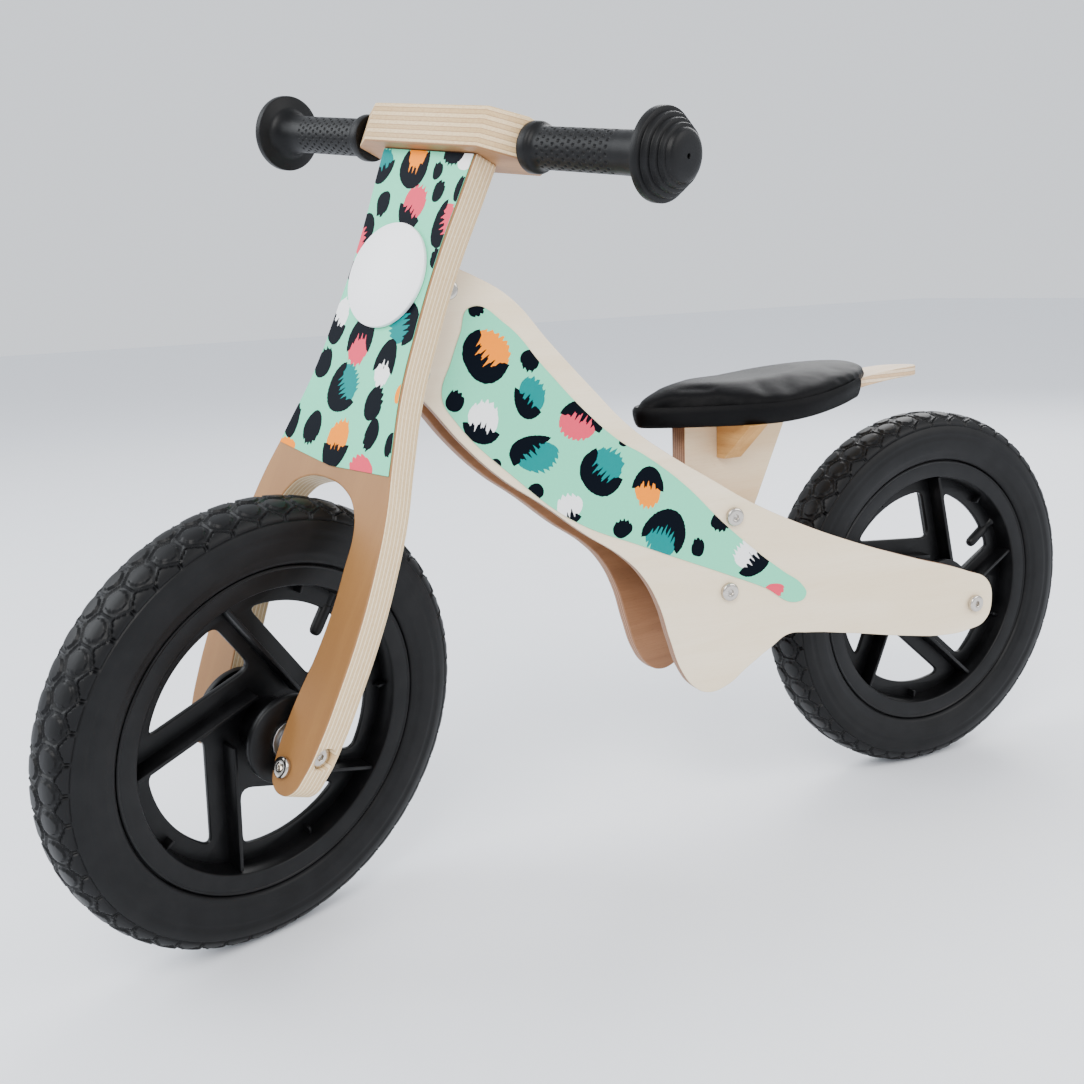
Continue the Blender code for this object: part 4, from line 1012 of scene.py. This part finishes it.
def tyre_mesh():
    """Pneumatic tyre: pads, ridges and shoulder blocks on the crown, grooved satin sidewalls."""
    steps = 960
    half = [(0, WHEEL_R), (4, 152.45), (8, 152.2), (12, 151.3), (15.5, 149.6), (18.2, 147.0),
            (20.1, 143.6), (21.3, 139.6), (21.9, 134.7), (21.6, 128), (20.7, 121), (19.2, 115.8),
            (17.7, 113.6), (15.6, 112.9)]
    _, length = curve_points(half, 10)
    fine = np.arange(0, 26.1, 0.85)
    coarse = np.linspace(26.9, length, 17)
    spots = np.r_[fine, coarse]
    points, _ = curve_points(half, spots)
    tangent = np.gradient(points, axis=0)
    tangent /= np.linalg.norm(tangent, axis=1, keepdims=True)
    normal = np.stack([-tangent[:, 1], tangent[:, 0]], -1)
    v = np.r_[-spots[:0:-1], spots]
    y = np.r_[-points[:0:-1, 0], points[:, 0]]
    r = np.r_[points[:0:-1, 1], points[:, 1]]
    ny = np.r_[-normal[:0:-1, 0], normal[:, 0]]
    nr = np.r_[normal[:0:-1, 1], normal[:, 1]]
    theta = around(steps)
    s, vv = np.meshgrid(theta * WHEEL_R, v)
    size = np.abs(vv)
    height = tread_height(s, vv) - 1.3 * (1 - smoothstep(23.5, 27.5, size))
    height += 0.5 * (1 - smoothstep(0.3, 0.9, np.abs(size - 25.3)))
    radius = np.interp(size, v[len(v) // 2:], r[len(v) // 2:])
    groove = np.abs(radius - 133.4)
    height -= 0.6 * (1 - smoothstep(0.5, 1.3, groove))
    bead = np.abs(radius - 117.6)
    height -= 0.5 * (1 - smoothstep(0.4, 1.4, bead))
    reach = r[:, None] + nr[:, None] * height
    depth = y[:, None] + ny[:, None] * height
    inner = [(14.5, 112.6), (14.5, 104.8), (10.5, 104.6), (16.5, 118), (18, 130), (13, 143), (0, 147.5),
             (-13, 143), (-18, 130), (-16.5, 118), (-10.5, 104.6), (-14.5, 104.8), (-14.5, 112.6)]
    inner = np.array(inner)
    reach = np.vstack([reach, np.repeat(inner[:, 1:], steps, 1)])
    depth = np.vstack([depth, np.repeat(inner[:, :1], steps, 1)])
    points = np.stack([reach * np.cos(theta), reach * np.sin(theta), depth], -1)
    return grid_mesh("tyre", points, wrap_rows=True)


def rounded(corners, radius, count=6):
    """A closed outline with its corners eased; (x, y, radius) gives a corner its own radius."""
    result = []
    total = len(corners)
    for index, corner in enumerate(corners):
        here = np.array(corner[:2], float)
        before = np.array(corners[index - 1][:2], float) - here
        after = np.array(corners[(index + 1) % total][:2], float) - here
        long_before, long_after = np.linalg.norm(before), np.linalg.norm(after)
        size = corner[2] if len(corner) == 3 else radius
        cosine = before @ after / long_before / long_after
        bend = math.pi - math.acos(max(-1, min(1, cosine)))
        reach = min(size * math.tan(bend / 2), 0.48 * long_before, 0.48 * long_after)
        start = here + before / long_before * reach
        end = here + after / long_after * reach
        for t in np.linspace(0, 1, count):
            result.append(tuple((1 - t) ** 2 * start + 2 * t * (1 - t) * here + t * t * end))
    return square(result)


def web_windows():
    """The openings between five spokes that run tangent to the hub."""
    ring, near, far = 84.5, SPOKE_OFFSET - 10, SPOKE_OFFSET + 14
    pitch = 2 * math.pi / SPOKES
    first, last = math.asin(far / ring), pitch + math.asin(near / ring)
    corners = [(ring, first + (last - first) * part / 6, 8 if part in (0, 6) else 200)
               for part in range(7)]
    inner_x = (far * math.cos(pitch) - near) / math.sin(pitch)
    corners.append((math.hypot(inner_x, far), math.atan2(far, inner_x), 7))
    windows = []
    for index in range(SPOKES):
        window = []
        for r, angle, size in corners:
            turned_to = -angle - index * pitch
            window.append((r * math.cos(turned_to), r * math.sin(turned_to), size))
        windows.append(rounded(window, 8))
    return windows


def box(x0, x1, half_y, half_z, draft=0.0):
    """A box along x whose sides lean in by draft towards both faces."""
    bm = bmesh.new()
    bmesh.ops.create_cube(bm, size=2)
    for vert in bm.verts:
        vert.co.x = x0 if vert.co.x < 0 else x1
    everything = bm.verts[:] + bm.edges[:] + bm.faces[:]
    bmesh.ops.bisect_plane(bm, geom=everything, plane_co=(0, 0, 0), plane_no=(0, 0, 1))
    for vert in bm.verts:
        lean = draft * abs(vert.co.z)
        vert.co = Vector((vert.co.x, vert.co.y * (half_y - lean), vert.co.z * half_z)) * MM
    mesh = bpy.data.meshes.new("rib")
    bm.to_mesh(mesh)
    bm.free()
    return mesh


def rim_mesh():
    """The moulding: barrel, thin web with its windows, hub, a rib on each spoke and short posts between."""
    half = [(102, 0), (102, 9), (104, 14.6), (105, 15), (111.6, 15.2), (112.3, 15.9), (112.3, 16.9),
            (111.6, 17.5), (110.8, 17.3), (110.3, 16.8), (99.6, 16.6), (98.8, 16.2), (98.3, 15.2),
            (97.3, 9), (96.6, 4), (96.4, 0)]
    barrel = turned("barrel", half + [(r, -z) for r, z in half[-2:0:-1]], 144)
    web = plate("web", [circle(98, 96), circle(12, 32)] + web_windows(), 4.4, 1.3, 1, (0, 0, 0))
    web = tidy_mesh(web, 60)
    side = [(19, 0), (19.3, 22), (20, 23.6), (22, 24.6), (28.6, 25.2), (29.6, 25.7), (30, 26.6), (30, 29.4),
            (29.6, 30.4), (28.6, 31), (20, 31), (14.6, 30.7), (13.6, 30.2), (13.3, 29.6), (13.3, 22.8),
            (7.6, 22.8), (7.6, 0)]
    hub = turned("hub", side + [(r, -z) for r, z in side[-2:0:-1]], 96)
    rib = bevelled(box(2, 93, 1.9, 14.6, 0.5), 0.7)
    rib.transform(shift(0, -SPOKE_OFFSET, 0))
    post = bevelled(box(91, 97.4, 1.4, 8.5, 0.35), 0.6)
    parts = [(barrel, Matrix()), (web, Matrix()), (hub, Matrix())]
    step, post_lag = 360 / SPOKES, 54
    for index in range(SPOKES):
        parts.append((rib, turn(step * index, "Z")))
        parts.append((post, turn(step * index - post_lag, "Z")))
    return join("rim_moulding", parts)


def tube_mesh():
    """Inner tube with its rubber valve stem and cap, leaning slightly."""
    ring = [(125 + 19 * math.cos(a), 14.5 * math.sin(a)) for a in around(24)]
    torus = turned("tube", ring, 96)
    profile = [(0.01, 0), (6.2, 0), (6.0, 6), (4.6, 8), (3.7, 10), (3.5, 16), (3.6, 17), (4.2, 17.3),
               (4.3, 18), (4.3, 33), (4.1, 35.4), (3.4, 37.2), (2.1, 38.3), (0.01, 38.6)]
    stem = turned("stem", profile, 32, closed=False)
    axis = turn(-VALVE_ANGLE, "Z") @ shift(104.5, 0, 0) @ turn(-90, "Y") @ turn(6, "X")
    return join("tube_and_valve", [(torus, Matrix()), (stem, axis)])


def add_wheels():
    tyre, rim, tube = tyre_mesh(), rim_mesh(), tube_mesh()
    front = Vector(JOINTS["front_wheel_spin"]["pos_m"])
    ahead, left, up = Vector((1, 0, 0)), Vector((0, 1, 0)), Vector((0, 0, 1))
    places = {
        "rear": wheel_matrix(REAR, ahead, up, left, WHEEL_PHASE["rear"]),
        "front": wheel_matrix(front, AHEAD, HEAD_AXIS, FRONT_AXIS, WHEEL_PHASE["front"]),
    }
    for word, place in places.items():
        finishes = (("tread_tyre", tyre, "tyre", "tyre_rubber", "tyre"),
                    ("spoked_rim", rim, "rim", "black_plastic", "rim"),
                    ("tube_and_valve", tube, "tube", "tube_rubber", "inner_tube"))
        for name, mesh, look, slot, node in finishes:
            placed = mesh.copy()
            placed.transform(place)
            piece(f"{word}_{name}", placed, [look], Matrix(), f"{word}_wheel", slot, f"{word}_{node}")


# CAD nodes that stay: each gets eased edges and its own finish

def dress_nodes():
    finishes = {
        "head_block": "block", "cross_spacer": "pine", "gusset": "pine", "handlebar_bar": "pine",
        "seat_screw": "zinc", "rear_axle": "zinc", "front_axle": "zinc", "sleeve": "zinc", "washer": "nylon",
        "bracket": "zinc", "steering_rod": "zinc", "steering_nut": "zinc", "bearing": "zinc", "screw": "zinc",
    }
    for name, node in frame["nodes"].items():
        if node.hide_render:
            continue
        key = max((k for k in finishes if k in name), key=len)
        for slot in node.material_slots:
            slot.material = LOOKS[finishes[key]].material
        weld = node.modifiers.new("weld", "WELD")
        weld.merge_threshold = 1e-6
        bevel = node.modifiers.new("bevel", "BEVEL")
        bevel.width = (0.8 if "gusset" in name or "block" in name else 0.3) * MM
        bevel.segments = 2
        bevel.limit_method = "ANGLE"
        bevel.angle_limit = math.radians(38)
        node.modifiers.new("normals", "WEIGHTED_NORMAL")


# Stage

def add_stage():
    mesh = bpy.data.meshes.new("floor")
    mesh.from_pydata([(-9, -9, 0), (9, -9, 0), (9, 9, 0), (-9, 9, 0)], [], [(0, 1, 2, 3)])
    floor = bpy.data.objects.new("floor", mesh)
    look = Look("floor_paint", 0.55)
    look.colour(look.mix(look.noise(0.02, 2), srgb(236, 239, 245), srgb(240, 242, 247)))
    mesh.materials.append(look.material)
    bpy.context.scene.collection.objects.link(floor)
    world = bpy.data.worlds.new("studio")
    world.use_nodes = True
    world.node_tree.nodes["Background"].inputs["Color"].default_value = (0.90, 0.94, 1.0, 1)
    world.node_tree.nodes["Background"].inputs["Strength"].default_value = 1.2
    bpy.context.scene.world = world
    lamps = [
        ("key", (1.6, 1.9, 2.3), 1.6, 95, (1.0, 0.985, 0.96)),
        ("window", (2.2, -1.2, 1.9), 1.8, 62, (0.93, 0.97, 1.0)),
        ("back", (-1.8, -1.4, 1.8), 1.6, 44, (1.0, 1.0, 1.0)),
        ("side", (-1.6, 2.0, 1.5), 1.4, 30, (1.0, 0.98, 0.95)),
    ]
    for name, spot, size, power, colour in lamps:
        light = bpy.data.lights.new(name, "AREA")
        light.size, light.energy, light.color = size, power, colour
        lamp = bpy.data.objects.new(name, light)
        lamp.location = spot
        lamp.rotation_euler = (Vector((0, 0, 0.22)) - Vector(spot)).to_track_quat("-Z", "Y").to_euler()
        bpy.context.scene.collection.objects.link(lamp)


def add_camera():
    """Three-quarter view from ahead on the rider's left, as far off as the perspective asks for."""
    place = BIKE @ (Vector(CAMERA_PLACE) * MM)
    target = BIKE @ (Vector(CAMERA_TARGET) * MM)
    roll = math.radians(CAMERA_ROLL)
    ahead = (target - place).normalized()
    right = ahead.cross(Vector((0, 0, 1))).normalized()
    up = right.cross(ahead)
    across = right * math.cos(roll) + up * math.sin(roll)
    above = up * math.cos(roll) - right * math.sin(roll)
    data = bpy.data.cameras.new("camera")
    data.sensor_width, data.lens = 36, CAMERA_LENS
    data.clip_start, data.clip_end = 0.05, 60
    camera = bpy.data.objects.new("camera", data)
    camera.matrix_world = basis(across, above, -ahead, place)
    bpy.context.scene.collection.objects.link(camera)
    bpy.context.scene.camera = camera


add_camera()
add_stage()
add_panels()
add_fork()
add_seat()
add_bolts()
add_handlebar()
add_wheels()
dress_nodes()
